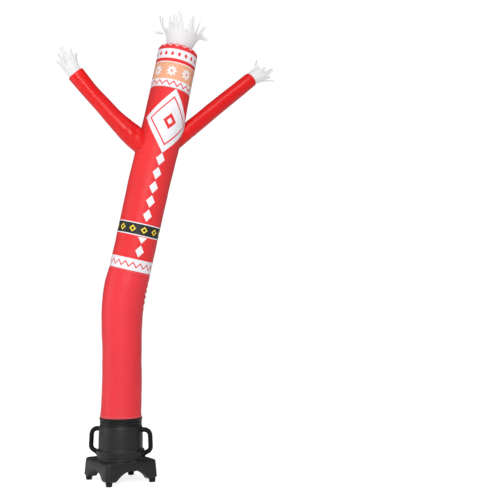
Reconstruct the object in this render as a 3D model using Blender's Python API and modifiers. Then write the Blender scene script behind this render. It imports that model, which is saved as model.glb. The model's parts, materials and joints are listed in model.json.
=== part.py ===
"""Inflatable air dancer: a cloth tube figure with two raised arms, clamped on its blower.

Metres, +Z up.  The origin is on the floor, under the middle of the whole object's box.
The blower's axis stands at (STAND_X, STAND_Y), because the figure leans and reaches to one
side, and the blower's square base has its sides along X and Y.  The figure's front looks
towards -Y, turned a little by FIGURE_TURN about the vertical.
"""

import math
from typing import NamedTuple

import bmesh
import bpy
from mathutils import Matrix, Vector

COLLECTION = "air_dancer"
CUTTERS = "air_dancer_cutters"

STAND_X, STAND_Y = -0.281, 0.104
CLEARANCE = 0.0003          # between pieces that touch
MERGE = 0.00005

# ---- cloth ----
CLOTH_THICKNESS = 0.0015
STRIP_THICKNESS = 0.0012
FIGURE_TURN = math.radians(-11.0)
BODY_SIDES = 28
ARM_SIDES = 16
CLOTH_FOOT = 0.4425         # lower edge of the tube, inside the outlet ring
HEM_HEIGHT = 1.5500
NECK_HEIGHT = 2.9000
CROWN_START = 3.1900        # where the tube begins to draw in to its round top
CROWN_RISE = 0.0800
HAND_RISE = 0.0260
SEAM_DIP = 0.0020           # how far a stitched seam draws the tube in
SEAM_DIP_REACH = 0.0300

# ---- blower ----
OUTLET_TOP = 0.4650
RING_HEIGHT = 0.0240
RING_OUTER_RADIUS = 0.1580
CLAMPED_RADIUS = 0.1525     # outside of the cloth under the ring
TURNED_STEPS = 40
SPIGOT_RADIUS = (CLAMPED_RADIUS - CLOTH_THICKNESS) * math.cos(math.pi / BODY_SIDES) - CLEARANCE
BAND_SEAT_RADIUS = 0.1500
BAND_OUTER_RADIUS = 0.1545
BAND_TOP = 0.4370
BAND_HEIGHT = 0.0305
DRUM_RADIUS = 0.1625
BEAD_RADIUS = 0.1770
COLLAR_RADIUS = 0.1745
WALL = 0.0045

BASE_TOP = 0.1650
BASE_BOTTOM = 0.0300
BASE_HALF_TOP = 0.1990
BASE_HALF_BOTTOM = 0.2080
BASE_CORNER_RADIUS = 0.0350
BASE_EDGE_RADIUS = 0.0160
BASE_FOOT_CHAMFER = 0.0120
BASE_WALL = 0.0050
LEG_FLOOR = 0.0180
LEG_INNER = 0.1280          # distance from the middle planes to a leg's inner sides
ARCH_HALF_SPAN = 0.1240
ARCH_RISE = 0.0670
INTAKE_RADIUS = 0.1500
GUARD_THICKNESS = 0.0035
GUARD_STEPS = 28
FOOT_RADIUS = 0.0245
FOOT_OFFSET = 0.1725

HANDLE_RADIUS = 0.0172
HANDLE_REACH = 0.2275       # from the axis to the middle of the grip
HANDLE_BEND = 0.0340
HANDLE_TOP = 0.3770
HANDLE_GRIP_LOW = 0.2550
HANDLE_FOOT_SLOPE = 30.0    # degrees that the lower end falls towards the collar
ROD_TURN = math.radians(6.0)    # keeps a rod's edges off the planes that cut it
HANDLE_ANGLES = {"handle_left": math.radians(135.0), "handle_right": math.radians(-45.0)}

BOX_ANGLE = math.radians(45.0)
FLANGE_WIDTH = 0.1560
FLANGE_LOW, FLANGE_HIGH = 0.2360, 0.3880
FLANGE_FRONT = 0.1765       # from the blower's axis
HOUSING_WIDTH = 0.1120
HOUSING_WALL = 0.0055
HOUSING_LOW, HOUSING_HIGH = 0.2520, 0.3780
HOOD_FRONT = 0.2290
HOOD_LOW = 0.3080
RECESS_FRONT = 0.2100
SCREW_INSET = 0.0100
SWITCH_SIDE, SWITCH_HEIGHT = 0.0120, 0.2780
ROCKER_LENGTH, ROCKER_HEIGHT = 0.0280, 0.0260
BEZEL_LENGTH, BEZEL_HEIGHT, BEZEL_DEPTH = 0.0440, 0.0380, 0.0030
ROCKER_TILT = math.radians(-8.0)
GLAND_SIDE, GLAND_REACH = -0.0300, 0.1930


class Station(NamedTuple):
    """One place along a cloth tube's axis, in the figure's own frame."""

    height: float
    x: float
    y: float
    radius: float


SPINE = (
    #       height   x        y       radius
    Station(0.4425,  0.0000,  0.000,  0.1525),
    Station(0.4650,  0.0000,  0.000,  0.1525),
    Station(0.5300,  0.0015,  0.000,  0.1490),
    Station(0.7400,  0.0055, -0.001,  0.1465),
    Station(0.9400,  0.0035, -0.001,  0.1452),
    Station(1.2000,  0.0010, -0.001,  0.1520),
    Station(1.3450,  0.0130, -0.003,  0.1575),
    Station(1.4350,  0.0270, -0.009,  0.1590),
    Station(1.5600,  0.0540, -0.022,  0.1548),
    Station(1.8900,  0.1170, -0.058,  0.1542),
    Station(2.2400,  0.1840, -0.091,  0.1565),
    Station(2.6200,  0.2700, -0.120,  0.1570),
    Station(2.8550,  0.3150, -0.130,  0.1520),
    Station(3.1900,  0.3830, -0.123,  0.1505),
)

LEFT_ARM = (
    #       height   x        y       radius
    Station(2.4350,  0.2050, -0.108,  0.0820),
    Station(2.5490,  0.0510, -0.111,  0.0795),
    Station(2.6680, -0.0920, -0.111,  0.0680),
    Station(2.7590, -0.1830, -0.111,  0.0630),
    Station(2.8530, -0.2790, -0.111,  0.0605),
    Station(2.9700, -0.3850, -0.111,  0.0640),
)

RIGHT_ARM = (
    #       height   x        y       radius
    Station(2.4650,  0.2900, -0.109,  0.0650),
    Station(2.6390,  0.4920, -0.111,  0.0615),
    Station(2.8530,  0.7380, -0.111,  0.0598),
    Station(3.0650,  0.9880, -0.111,  0.0570),
)


class Vent(NamedTuple):
    """The opening at a tube's end, and the band of the fringe that stands in it."""

    radius: float
    band_height: float
    band_flare: float        # the band's upper radius by its lower one


HEAD_VENT = Vent(0.0960, 0.0700, 1.24)
HAND_VENT = Vent(0.0440, 0.0600, 1.24)


class Strip(NamedTuple):
    """One loose strip of a fringe: how it leaves the vent, bends over and drifts aside."""

    lean: float      # degrees from the vent's axis where it leaves
    curl: float      # degrees it bends outwards over its length
    drift: float     # metres aside at its tip
    length: float


HEAD_STRIPS = (
    #     lean  curl  drift   length
    Strip(8.0,  20.0,  0.012, 0.145),
    Strip(14.0, 10.0, -0.008, 0.150),
    Strip(18.0, 8.0,   0.010, 0.140),
    Strip(33.0, 100.0, 0.006, 0.105),
    Strip(36.0, 16.0, -0.008, 0.125),
    Strip(22.0, 6.0,   0.010, 0.150),
    Strip(10.0, 8.0,  -0.006, 0.160),
    Strip(14.0, 30.0,  0.008, 0.145),
    Strip(7.0,  14.0,  0.010, 0.150),
    Strip(4.0, -6.0,  -0.008, 0.172),
    Strip(12.0, 10.0,  0.012, 0.150),
    Strip(57.0, -36.0, 0.006, 0.150),
    Strip(84.0, 26.0,  0.004, 0.108),
    Strip(16.0, 12.0, -0.010, 0.135),
    Strip(6.0,  16.0,  0.012, 0.150),
    Strip(10.0, -8.0, -0.010, 0.158),
)

HAND_STRIPS = (
    #     lean  curl  drift   length
    Strip(12.0, 20.0,  0.004, 0.088),
    Strip(10.0, 12.0, -0.004, 0.098),
    Strip(28.0, 50.0,  0.004, 0.070),
    Strip(16.0, 16.0,  0.006, 0.090),
    Strip(24.0, -14.0, -0.004, 0.082),
    Strip(8.0,  14.0,  0.004, 0.104),
    Strip(12.0, 24.0, -0.004, 0.088),
    Strip(32.0, 34.0,  0.004, 0.064),
    Strip(14.0, 10.0,  0.005, 0.094),
    Strip(20.0, 20.0, -0.005, 0.078),
)

COLOURS = {
    # name: (linear red, green, blue), roughness, metallic
    "ripstop_red": ((0.760, 0.030, 0.035), 0.55, 0.0),
    "ripstop_white": ((0.830, 0.840, 0.860), 0.60, 0.0),
    "blower_black": ((0.030, 0.030, 0.031), 0.48, 0.0),
    "trim_black": ((0.012, 0.012, 0.013), 0.40, 0.0),
    "rubber_black": ((0.009, 0.009, 0.009), 0.75, 0.0),
    "switch_green": ((0.006, 0.120, 0.050), 0.30, 0.0),
    "bright_metal": ((0.560, 0.560, 0.550), 0.28, 1.0),
}


# ---------------------------------------------------------------- scene helpers

def clear_scene():
    """Remove every object of the scene."""
    for obj in list(bpy.data.objects):
        bpy.data.objects.remove(obj)


def new_collection(name):
    """Return a new collection of the scene."""
    collection = bpy.data.collections.new(name)
    bpy.context.scene.collection.children.link(collection)
    return collection


def make_materials():
    """Return the part's Principled materials by name."""
    made = {}
    for name, (colour, roughness, metallic) in COLOURS.items():
        material = bpy.data.materials.new(name)
        material.use_nodes = True
        shader = material.node_tree.nodes["Principled BSDF"]
        shader.inputs["Base Color"].default_value = (*colour, 1.0)
        shader.inputs["Roughness"].default_value = roughness
        shader.inputs["Metallic"].default_value = metallic
        made[name] = material
    return made


class Workshop:
    """The collections, materials and parent that new pieces go to."""

    def __init__(self):
        self.pieces = new_collection(COLLECTION)
        self.cutters = new_collection(CUTTERS)
        self.materials = make_materials()
        self.stand = bpy.data.objects.new("stand", None)
        self.stand.location = (STAND_X, STAND_Y, 0.0)
        self.figure = bpy.data.objects.new("figure_turn", None)
        self.figure.rotation_euler.z = FIGURE_TURN
        self.figure.parent = self.stand
        self.pieces.objects.link(self.stand)
        self.pieces.objects.link(self.figure)

    def add(self, name, mesh, material=None):
        """Link a mesh as a piece of the stand, or as a cutter when it has no material."""
        piece = bpy.data.objects.new(name, mesh)
        piece.parent = self.stand
        if material is None:
            self.cutters.objects.link(piece)
            piece.hide_render = True
            piece.display_type = "WIRE"
            return piece
        self.pieces.objects.link(piece)
        mesh.materials.append(self.materials[material])
        return piece

    def add_to_figure(self, name, mesh, material=None):
        """Link a mesh that is built in the figure's own frame."""
        piece = self.add(name, mesh, material)
        piece.parent = self.figure
        return piece


def mesh_from(bm, name):
    """Turn a bmesh into a mesh with its faces pointing out."""
    bmesh.ops.recalc_face_normals(bm, faces=bm.faces)
    mesh = bpy.data.meshes.new(name)
    bm.to_mesh(mesh)
    bm.free()
    return mesh


def boolean(piece, cutter, operation="DIFFERENCE"):
    """Put an exact boolean on a piece."""
    modifier = piece.modifiers.new(f"{operation.lower()}_{cutter.name}", "BOOLEAN")
    modifier.operation = operation
    modifier.solver = "EXACT"
    modifier.object = cutter


def smooth(mesh, angle=35.0):
    """Shade a round mesh smooth, with sharp edges where it turns steeply."""
    mesh.shade_smooth()
    mesh.set_sharp_from_angle(angle=math.radians(angle))


# ---------------------------------------------------------------- shape helpers

def turn_about_z(workshop, name, points, closed, material=None, steps=TURNED_STEPS):
    """Turn (radius, height) points about Z with a Screw modifier."""
    count = len(points)
    edges = [(i, (i + 1) % count) for i in range(count if closed else count - 1)]
    mesh = bpy.data.meshes.new(name)
    mesh.from_pydata([(radius, 0.0, height) for radius, height in points], edges, [])
    piece = workshop.add(name, mesh, material)
    screw = piece.modifiers.new("turn", "SCREW")
    screw.axis = "Z"
    screw.steps = screw.render_steps = steps
    screw.use_merge_vertices = True
    screw.merge_threshold = MERGE
    screw.use_smooth_shade = True
    return piece


def turned(workshop, name, profile, material=None, steps=TURNED_STEPS):
    """Turn a closed profile; its outer side runs top to bottom, its bore back up."""
    return turn_about_z(workshop, name, profile, True, material, steps)


def turned_solid(workshop, name, outer_side, material=None, steps=TURNED_STEPS):
    """Turn an outer side that runs top to bottom into a filled solid."""
    top, bottom = outer_side[0][1], outer_side[-1][1]
    return turn_about_z(workshop, name, [(0.0, top), *outer_side, (0.0, bottom)], False, material, steps)


def grown(outer_side, clearance):
    """An outer side moved outwards, and up and down at its ends."""
    moved = [(radius + clearance, height) for radius, height in outer_side]
    moved[0] = (moved[0][0], outer_side[0][1] + clearance)
    moved[-1] = (moved[-1][0], outer_side[-1][1] - clearance)
    return moved


def box_mesh(name, low, high):
    """A box between two corners."""
    bm = bmesh.new()
    bmesh.ops.create_cube(bm, size=1.0)
    size = [b - a for a, b in zip(low, high)]
    middle = [(a + b) / 2 for a, b in zip(low, high)]
    bmesh.ops.transform(bm, verts=bm.verts, matrix=Matrix.Translation(middle) @ Matrix.Diagonal((*size, 1.0)))
    return mesh_from(bm, name)


def extruded(name, outline, half_width):
    """Extrude a closed (x, z) outline along Y, to both sides of the XZ plane."""
    bm = bmesh.new()
    near = [bm.verts.new((x, -half_width, z)) for x, z in outline]
    face = bm.faces.new(near)
    grown = bmesh.ops.extrude_face_region(bm, geom=[face])["geom"]
    far = [item for item in grown if isinstance(item, bmesh.types.BMVert)]
    bmesh.ops.translate(bm, verts=far, vec=(0.0, 2 * half_width, 0.0))
    return mesh_from(bm, name)


def swept(workshop, name, points, radius, material, resolution=4):
    """A round rod along points, as a mesh with welded end caps."""
    curve = bpy.data.curves.new(name, "CURVE")
    curve.dimensions = "3D"
    curve.bevel_depth = radius
    curve.bevel_resolution = resolution
    curve.use_fill_caps = True
    spline = curve.splines.new("POLY")
    spline.points.add(len(points) - 1)
    for place, point in zip(spline.points, points):
        place.co = (*point, 1.0)
        place.tilt = ROD_TURN
    rod = bpy.data.objects.new(name, curve)
    workshop.pieces.objects.link(rod)
    mesh = bpy.data.meshes.new_from_object(rod.evaluated_get(bpy.context.evaluated_depsgraph_get()))
    bpy.data.objects.remove(rod)
    bm = bmesh.new()
    bm.from_mesh(mesh)
    bmesh.ops.remove_doubles(bm, verts=bm.verts, dist=MERGE)
    bpy.data.meshes.remove(mesh)
    mesh = mesh_from(bm, name)
    mesh.materials.clear()
    smooth(mesh)
    return workshop.add(name, mesh, material)


def arc(centre, radius, start, end, count):
    """Points of an arc in a plane, from one angle in degrees to another."""
    turns = [math.radians(start + (end - start) * i / (count - 1)) for i in range(count)]
    return [(centre[0] + radius * math.cos(t), centre[1] + radius * math.sin(t)) for t in turns]


# ---------------------------------------------------------------- cloth tubes

def along(stations, height):
    """Interpolate a table of stations smoothly at a height on its axis."""
    last = len(stations) - 2
    k = min(max(sum(s.height <= height for s in stations) - 1, 0), last)
    a, b = stations[k], stations[k + 1]
    before = stations[max(k - 1, 0)]
    after = stations[min(k + 2, len(stations) - 1)]
    span = b.height - a.height
    t = (height - a.height) / span

    def blend(column):
        start, end = getattr(a, column), getattr(b, column)
        slope_in = (end - getattr(before, column)) / (b.height - before.height) * span
        slope_out = (getattr(after, column) - start) / (after.height - a.height) * span
        return (
            (2 * t**3 - 3 * t**2 + 1) * start
            + (t**3 - 2 * t**2 + t) * slope_in
            + (3 * t**2 - 2 * t**3) * end
            + (t**3 - t**2) * slope_out
        )

    return Station(height, blend("x"), blend("y"), blend("radius"))


def direction(stations, height, step=0.004):
    """Unit direction of a tube's axis at a height."""
    low, high = stations[0].height, stations[-1].height
    a = along(stations, max(height - step, low))
    b = along(stations, min(height + step, high))
    return Vector((b.x - a.x, b.y - a.y, b.height - a.height)).normalized()


def ring(centre, axis, radius, sides):
    """Points of a ring square to an axis, the first one towards the figure's front."""
    front = Vector((0.0, -1.0, 0.0))
    front = (front - axis * front.dot(axis)).normalized()
    side = axis.cross(front)
    turns = [2 * math.pi * i / sides for i in range(sides)]
    return [centre + radius * (math.cos(t) * front + math.sin(t) * side) for t in turns]


def tube_rings(stations, heights, sides, grow=0.0, seams=()):
    """Rings of a tube at the given heights, drawn in a little at its seams."""
    rings = []
    for height in heights:
        at = along(stations, height)
        dip = sum(max(0.0, 1 - abs(height - seam) / SEAM_DIP_REACH) ** 2 for seam in seams)
        radius = at.radius - SEAM_DIP * dip + grow
        rings.append(ring(Vector((at.x, at.y, height)), direction(stations, height), radius, sides))
    return rings


def round_end(stations, start, rise, vent_radius, sides, count=5):
    """Rings that draw a tube in from one height to the edge of its vent."""
    at = along(stations, start)
    axis = direction(stations, start)
    centre = Vector((at.x, at.y, start))
    fullness = 2.4
    share = (1 - (vent_radius / at.radius) ** fullness) ** (1 / fullness)
    rings = []
    for i in range(1, count + 1):
        climb = math.sin(math.pi / 2 * i / count) * share
        radius = at.radius * (1 - climb**fullness) ** (1 / fullness)
        rings.append(ring(centre + axis * rise * climb / share, axis, radius, sides))
    return rings


def loft(rings, name, capped=False):
    """Faces between rings; the ends stay open, or are closed for a cutter."""
    bm = bmesh.new()
    rows = [[bm.verts.new(point) for point in points] for points in rings]
    sides = len(rows[0])
    for low, high in zip(rows, rows[1:]):
        for i in range(sides):
            j = (i + 1) % sides
            bm.faces.new((low[i], low[j], high[j], high[i]))
    if capped:
        bm.faces.new(rows[0])
        bm.faces.new(rows[-1])
    return mesh_from(bm, name)


def cloth_tube(workshop, name, rings, material, thickness=CLOTH_THICKNESS):
    """A thin cloth skin whose outer side goes through the rings."""
    mesh = loft(rings, name)
    smooth(mesh, 60.0)
    piece = workshop.add_to_figure(name, mesh, material)
    solidify = piece.modifiers.new("cloth", "SOLIDIFY")
    solidify.thickness = thickness
    solidify.offset = -1.0
    return piece


def spread(low, high, count):
    """Even heights from low to high."""
    return [low + (high - low) * i / (count - 1) for i in range(count)]


def make_body(workshop):
    """The leg, coat and head lengths of the tube, seamed end to end."""
    half = CLEARANCE / 2
    low, high = CLOTH_FOOT, HEM_HEIGHT - half
    leg_heights = [low, OUTLET_TOP, 0.49, 0.53, *spread(0.62, HEM_HEIGHT - 0.03, 11), high]
    leg = tube_rings(SPINE, leg_heights, BODY_SIDES, seams=(HEM_HEIGHT,))
    cloth_tube(workshop, "leg_tube", leg, "ripstop_red")

    coat_heights = [HEM_HEIGHT + half, *spread(HEM_HEIGHT + 0.03, NECK_HEIGHT - 0.03, 15), NECK_HEIGHT - half]
    coat = tube_rings(SPINE, coat_heights, BODY_SIDES, seams=(HEM_HEIGHT, NECK_HEIGHT))
    coat_tube = cloth_tube(workshop, "coat_tube", coat, "ripstop_red")

    head_heights = [NECK_HEIGHT + half] + spread(NECK_HEIGHT + 0.03, CROWN_START, 5)
    head = tube_rings(SPINE, head_heights, BODY_SIDES, seams=(NECK_HEIGHT,))
    head += round_end(SPINE, CROWN_START, CROWN_RISE, HEAD_VENT.radius, BODY_SIDES)
    cloth_tube(workshop, "head_tube", head, "ripstop_white")

    grown = tube_rings(SPINE, coat_heights, BODY_SIDES, grow=CLEARANCE, seams=(HEM_HEIGHT, NECK_HEIGHT))
    plug = workshop.add_to_figure("coat_plug", loft(grown, "coat_plug", capped=True))
    return coat_tube, plug


def make_arm(workshop, name, stations, coat_tube, coat_plug):
    """One sleeve, butted on the coat round the hole that its bore leaves in it."""
    end = stations[-1].height
    heights = spread(stations[0].height, end, 9)
    outside = tube_rings(stations, heights, ARM_SIDES)
    outside += round_end(stations, end, HAND_RISE, HAND_VENT.radius, ARM_SIDES, count=3)
    arm = cloth_tube(workshop, name, outside, "ripstop_red")
    boolean(arm, coat_plug)

    bore = tube_rings(stations, heights[:4], ARM_SIDES, grow=-CLOTH_THICKNESS)
    bore_plug = workshop.add_to_figure(f"{name}_bore", loft(bore, f"{name}_bore", capped=True))
    boolean(coat_tube, bore_plug)


# ---------------------------------------------------------------- fringes

def strip_path(root, outward, axis, side, strip, steps=6):
    """Middle line of a strip from its root, bending from the vent's axis outwards."""
    points = [root]
    piece_length = strip.length / steps
    for i in range(steps):
        angle = math.radians(strip.lean + strip.curl * (i + 0.5) / steps)
        heading = math.sin(angle) * outward + math.cos(angle) * axis
        drift = side * strip.drift * (2 * i + 1) / steps**2
        points.append(points[-1] + heading * piece_length + drift)
    return points


def make_fringe(workshop, name, centre, axis, vent, sides, strips):
    """One comb: a flared band inside the vent's edge, slit into a strip on each sector."""
    rim_lean = 0.0009        # how far the vent edge leans in below its upper side
    radius = vent.radius * math.cos(math.pi / sides) - rim_lean - CLEARANCE - STRIP_THICKNESS / 2
    rows = ((-0.008, 1.0), (0.006, 1.0), (vent.band_height, vent.band_flare))
    share = 0.74             # of a sector that its strip takes
    sector = 2 * math.pi / len(strips)
    front = Vector((0.0, -1.0, 0.0))
    front = (front - axis * front.dot(axis)).normalized()
    across = axis.cross(front)

    bm = bmesh.new()
    turns = [(i + part) * sector for i in range(len(strips)) for part in (0.0, share)]
    band = []
    for lift, flare in rows:
        outward = [math.cos(turn) * front + math.sin(turn) * across for turn in turns]
        band.append([bm.verts.new(centre + radius * flare * way + axis * lift) for way in outward])
    count = len(turns)
    for lower, upper in zip(band, band[1:]):
        for i in range(count):
            j = (i + 1) % count
            bm.faces.new((lower[i], lower[j], upper[j], upper[i]))
    upper = band[-1]

    for i, strip in enumerate(strips):
        edge = (upper[2 * i], upper[2 * i + 1])
        half_chord = (edge[1].co - edge[0].co) / 2
        root = (edge[0].co + edge[1].co) / 2
        turn = (i + share / 2) * sector
        outward = math.cos(turn) * front + math.sin(turn) * across
        path = strip_path(root, outward, axis, half_chord.normalized(), strip)
        for k, point in enumerate(path[1:], start=1):
            taper = 1 - 0.25 * k / (len(path) - 1)
            following = [bm.verts.new(point - half_chord * taper), bm.verts.new(point + half_chord * taper)]
            bm.faces.new((edge[0], edge[1], following[1], following[0]))
            edge = following
    mesh = mesh_from(bm, name)
    piece = workshop.add_to_figure(name, mesh, "ripstop_white")
    solidify = piece.modifiers.new("cloth", "SOLIDIFY")
    solidify.thickness = STRIP_THICKNESS
    solidify.offset = 0.0


def make_fringes(workshop):
    """The three fringes, each in the vent of its tube."""
    ends = (
        ("fringe_head", SPINE, CROWN_START, CROWN_RISE, HEAD_VENT, BODY_SIDES, HEAD_STRIPS),
        ("fringe_left", LEFT_ARM, LEFT_ARM[-1].height, HAND_RISE, HAND_VENT, ARM_SIDES, HAND_STRIPS),
        ("fringe_right", RIGHT_ARM, RIGHT_ARM[-1].height, HAND_RISE, HAND_VENT, ARM_SIDES, HAND_STRIPS[::-1]),
    )
    for name, stations, height, rise, vent, sides, strips in ends:
        at = along(stations, height)
        axis = direction(stations, height)
        centre = Vector((at.x, at.y, height)) + axis * rise
        make_fringe(workshop, name, centre, axis, vent, sides, strips)


# ---------------------------------------------------------------- blower

def drum_outer_side():
    """The duct's outer profile, top to bottom."""
    band_low = BAND_TOP - BAND_HEIGHT
    return [
        (SPIGOT_RADIUS - CLEARANCE, OUTLET_TOP - 0.003),
        (SPIGOT_RADIUS - CLEARANCE, BAND_TOP + 0.0015),
        (BAND_SEAT_RADIUS, BAND_TOP + CLEARANCE),
        (BAND_SEAT_RADIUS, band_low - CLEARANCE),
        (0.1535, band_low - CLEARANCE),
        (0.1565, band_low - 0.0040),
        (DRUM_RADIUS - 0.0012, 0.3450),
        (DRUM_RADIUS, 0.3000),
        (DRUM_RADIUS, 0.2480),
        (0.1640, 0.2390),
        (0.1675, 0.2340),
        (0.1730, 0.2310),
        (0.1762, 0.2270),
        (BEAD_RADIUS, 0.2220),
        (0.1762, 0.2160),
        (COLLAR_RADIUS, 0.2100),
        (COLLAR_RADIUS, BASE_TOP + CLEARANCE),
    ]


def make_drum(workshop):
    """The turned duct, hollow all the way, and the plug that shapes what butts on it."""
    outer = drum_outer_side()
    inner = [
        (COLLAR_RADIUS - 0.0060, BASE_TOP + CLEARANCE),
        (COLLAR_RADIUS - 0.0060, 0.2120),
        (DRUM_RADIUS - WALL, 0.2400),
        (DRUM_RADIUS - WALL, 0.3000),
        (0.1512, 0.3980),
        (BAND_SEAT_RADIUS - WALL, 0.4080),
        (BAND_SEAT_RADIUS - WALL, OUTLET_TOP - 0.003),
    ]
    turned(workshop, "drum", outer + inner, "blower_black")
    return turned_solid(workshop, "drum_plug", grown(outer, CLEARANCE))


def make_outlet_bands(workshop):
    """The ring that clamps the cloth, and the second band below it."""
    inside = (CLAMPED_RADIUS + CLEARANCE) / math.cos(math.pi / TURNED_STEPS)
    low = OUTLET_TOP - RING_HEIGHT
    ring_profile = [
        (inside, OUTLET_TOP),
        (RING_OUTER_RADIUS - 0.0015, OUTLET_TOP),
        (RING_OUTER_RADIUS, OUTLET_TOP - 0.0015),
        (RING_OUTER_RADIUS, OUTLET_TOP - 0.0085),
        (RING_OUTER_RADIUS - 0.0020, OUTLET_TOP - 0.0105),
        (RING_OUTER_RADIUS - 0.0020, low + 0.0010),
        (RING_OUTER_RADIUS - 0.0030, low),
        (inside, low),
    ]
    turned(workshop, "outlet_ring", ring_profile, "trim_black")

    band_low = BAND_TOP - BAND_HEIGHT
    seat = BAND_SEAT_RADIUS + CLEARANCE
    band_profile = [
        (seat, BAND_TOP),
        (BAND_OUTER_RADIUS - 0.0012, BAND_TOP),
        (BAND_OUTER_RADIUS, BAND_TOP - 0.0012),
        (BAND_OUTER_RADIUS, band_low + 0.0012),
        (BAND_OUTER_RADIUS - 0.0012, band_low),
        (seat, band_low),
    ]
    turned(workshop, "neck_band", band_profile, "trim_black")


def drafted_block(name, half_bottom, half_top, low, high, corner, top_edge=0.0, bottom_edge=0.0):
    """A square block with draft, rounded upright edges and eased rims."""
    bm = bmesh.new()
    bmesh.ops.create_cube(bm, size=2.0)
    for vert in bm.verts:
        half = half_top if vert.co.z > 0 else half_bottom
        vert.co = (vert.co.x * half, vert.co.y * half, high if vert.co.z > 0 else low)
    upright = [e for e in bm.edges if abs(e.verts[0].co.z - e.verts[1].co.z) > 0.01]
    bmesh.ops.bevel(bm, geom=upright, offset=corner, segments=5, profile=0.5, affect="EDGES")
    for width, sign, segments in ((top_edge, 1.0, 3), (bottom_edge, -1.0, 1)):
        if not width:
            continue
        bm.normal_update()
        cap = max(bm.faces, key=lambda face: sign * face.normal.z * face.calc_area())
        rim = list(cap.edges)
        bmesh.ops.bevel(bm, geom=rim, offset=width, segments=segments, profile=0.5, affect="EDGES")
    return mesh_from(bm, name)


def make_base(workshop):
    """The moulded foot: a shell with an arch in each side and a floor in each leg."""
    base = workshop.add(
        "base",
        drafted_block(
            "base", BASE_HALF_BOTTOM, BASE_HALF_TOP, BASE_BOTTOM, BASE_TOP,
            BASE_CORNER_RADIUS, BASE_EDGE_RADIUS, BASE_FOOT_CHAMFER,
        ),
        "blower_black",
    )
    floor_top = BASE_BOTTOM + LEG_FLOOR
    inside = drafted_block(
        "base_inside", BASE_HALF_BOTTOM - BASE_WALL, BASE_HALF_TOP - BASE_WALL,
        floor_top, BASE_TOP - BASE_WALL, BASE_CORNER_RADIUS - BASE_WALL, BASE_EDGE_RADIUS - 0.003,
    )
    cutters = [workshop.add("base_inside", inside)]
    reach = BASE_HALF_BOTTOM - BASE_WALL
    for name, half_x, half_y in (("along_x", reach, LEG_INNER), ("along_y", LEG_INNER, reach)):
        low = (-half_x, -half_y, BASE_BOTTOM - 0.02)
        high = (half_x, half_y, floor_top + 0.01)
        cutters.append(workshop.add(f"base_between_legs_{name}", box_mesh(name, low, high)))
    through_top = [(INTAKE_RADIUS, BASE_TOP + 0.01), (INTAKE_RADIUS, BASE_TOP - 0.02)]
    cutters.append(turned_solid(workshop, "base_duct", through_top))
    for name, turn in (("across_x", 0.0), ("across_y", math.pi / 2)):
        cutters.append(arch_cutter(workshop, f"arches_{name}", turn))
    for cutter in cutters:
        boolean(base, cutter)


def arch_cutter(workshop, name, turn):
    """A half-elliptic bar that cuts the arches of two opposite sides."""
    turns = [math.pi * i / 16 for i in range(17)]
    outline = [(ARCH_HALF_SPAN * math.cos(t), BASE_BOTTOM + ARCH_RISE * math.sin(t)) for t in turns]
    outline += [(-ARCH_HALF_SPAN, BASE_BOTTOM - 0.02), (ARCH_HALF_SPAN, BASE_BOTTOM - 0.02)]
    cutter = workshop.add(name, extruded(name, outline, BASE_HALF_BOTTOM + 0.02))
    cutter.rotation_euler.z = turn
    return cutter


def make_feet(workshop):
    """Four round rubber feet under the legs."""
    top = BASE_BOTTOM - CLEARANCE
    low = FOOT_RADIUS - 0.002
    side = [(FOOT_RADIUS, top), (FOOT_RADIUS, top - 0.010), (low, 0.003), (low - 0.003, 0.0)]
    corners = ((1, 1), (-1, 1), (-1, -1), (1, -1))
    for number, (side_x, side_y) in enumerate(corners, start=1):
        foot = turned_solid(workshop, f"foot_{number}", side, "rubber_black", steps=20)
        foot.location = (side_x * FOOT_OFFSET, side_y * FOOT_OFFSET, 0.0)


def make_handles(workshop, drum_plug):
    """Two bent carrying handles on opposite corners, butted on the drum and its collar."""
    middle = HANDLE_REACH - HANDLE_BEND
    upper_end, lower_end = 0.1450, 0.1630     # both inside the drum, which trims them
    path = [(upper_end, HANDLE_TOP)]
    path += arc((middle, HANDLE_TOP - HANDLE_BEND), HANDLE_BEND, 90.0, 0.0, 6)
    path += arc((middle, HANDLE_GRIP_LOW), HANDLE_BEND, 0.0, HANDLE_FOOT_SLOPE - 90.0, 5)
    end_reach, end_height = path[-1]
    fall = (end_reach - lower_end) * math.tan(math.radians(HANDLE_FOOT_SLOPE))
    path += [(lower_end, end_height - fall)]
    for name, angle in HANDLE_ANGLES.items():
        handle = swept(workshop, name, [(r, 0.0, z) for r, z in path], HANDLE_RADIUS, "blower_black")
        handle.rotation_euler.z = angle
        boolean(handle, drum_plug)


def guard_ring(workshop, name, radius, width, high, low, material=None):
    """One flat ring of the guard."""
    section = [(radius, high), (radius, low), (radius - width, low), (radius - width, high)]
    return turned(workshop, name, section, material, steps=GUARD_STEPS)


def make_guard(workshop):
    """The plain grille under the intake: rings on spokes, against the underside of the top."""
    high = BASE_TOP - BASE_WALL - CLEARANCE
    low = high - GUARD_THICKNESS
    rim = INTAKE_RADIUS + 0.007
    guard = guard_ring(workshop, "intake_guard", rim, 0.012, high, low, "blower_black")
    for number, radius in enumerate((0.105, 0.055), start=1):
        boolean(guard, guard_ring(workshop, f"guard_ring_{number}", radius, 0.0045, high, low), "UNION")
    reach, half_width, inset = INTAKE_RADIUS - 0.001, 0.003, 0.0005
    for number in range(3):
        bar = box_mesh("spoke", (-reach, -half_width, low + inset), (reach, half_width, high - inset))
        spoke = workshop.add(f"guard_spoke_{number}", bar)
        spoke.rotation_euler.z = math.radians(15.0 + 60.0 * number)
        boolean(guard, spoke, "UNION")


# ---------------------------------------------------------------- control box

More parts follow.
